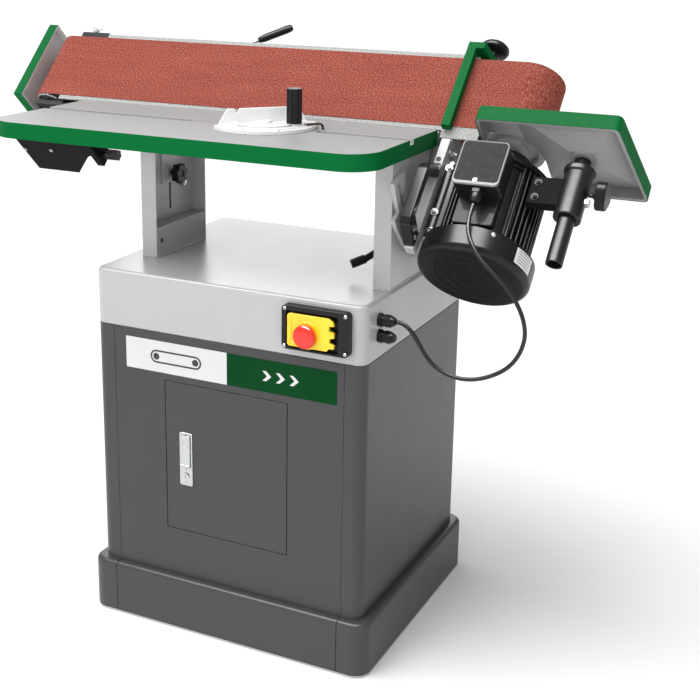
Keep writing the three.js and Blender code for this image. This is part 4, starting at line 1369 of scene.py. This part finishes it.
def soft_light(name, spot, target, size, power):
    """A rectangular lamp at a spot, aimed at a target, with its power in watts."""
    data = bpy.data.lights.new(name, "AREA")
    data.shape = "RECTANGLE"
    data.size, data.size_y = size
    data.energy = power
    lamp = linked(name, data)
    lamp.location = spot
    lamp.rotation_euler = (Vector(target) - Vector(spot)).to_track_quat("-Z", "Y").to_euler()
    return lamp


# The studio's brightness towards its dark and its bright side, in mirrored rays, and for the camera.
STUDIO_DARK = 0.12
STUDIO_BRIGHT = 1.0
STUDIO_MIRRORED = 0.4
STUDIO_SEEN = 1.1
BRIGHT_SIDE = (-0.45, -0.7, 0.55)


def make_backdrop():
    """A studio that the camera sees as white, and that lights the machine mostly from the front left."""
    world = bpy.data.worlds.new("studio")
    world.use_nodes = True
    tree = world.node_tree
    backdrop = tree.nodes["Background"]
    backdrop.inputs["Color"].default_value = (1, 1, 1, 1)
    facing = node(tree, "VectorMath", Vector=node(tree, "TexCoord").outputs["Generated"])
    facing.operation = "DOT_PRODUCT"
    facing.inputs[1].default_value = BRIGHT_SIDE
    wash = between(tree, facing.outputs["Value"], STUDIO_DARK, STUDIO_BRIGHT, -0.6, 0.9)
    path = node(tree, "LightPath")
    dimmed = node(tree, "Mix", Factor=path.outputs["Is Glossy Ray"])
    tree.links.new(wash, dimmed.inputs[2])
    dimmed.inputs[3].default_value = STUDIO_MIRRORED
    strength = node(tree, "Mix", Factor=path.outputs["Is Camera Ray"])
    tree.links.new(dimmed.outputs[0], strength.inputs[2])
    strength.inputs[3].default_value = STUDIO_SEEN
    tree.links.new(strength.outputs[0], backdrop.inputs["Strength"])
    bpy.context.scene.world = world


def make_sun():
    """One large soft source, high at the front, so the shadow falls behind the stand."""
    data = bpy.data.lights.new("sun", "SUN")
    data.energy = 2.1
    data.angle = math.radians(44)
    lamp = linked("sun", data)
    lamp.rotation_euler = Vector((0.3, 0.3, -0.9)).to_track_quat("-Z", "Y").to_euler()
    lamp.visible_glossy = False


def make_light():
    make_backdrop()
    make_sun()
    centre = (0, 0, 0.6)
    soft_light("fill", (2.6, -1.7, 1.3), centre, (0.6, 2.2), 4)
    front = soft_light("front", (-0.6, -3.4, 1.6), centre, (2.4, 1.4), 26)
    front.visible_glossy = False
    # These two give reflections and no diffuse light: one is over the machine and one behind it.
    highlight = soft_light("highlight", (-0.3, -0.7, 2.72), (-0.3, -0.1, 0.75), (2.8, 0.8), 170)
    highlight.visible_diffuse = False
    sheen = soft_light("sheen", (-1.3, 2.8, 1.6), (0, 0.2, 0.7), (3.4, 1.6), 52)
    sheen.visible_diffuse = False
    sheen.visible_camera = False
    bpy.context.scene.view_settings.view_transform = "Standard"


make_floor()
make_light()
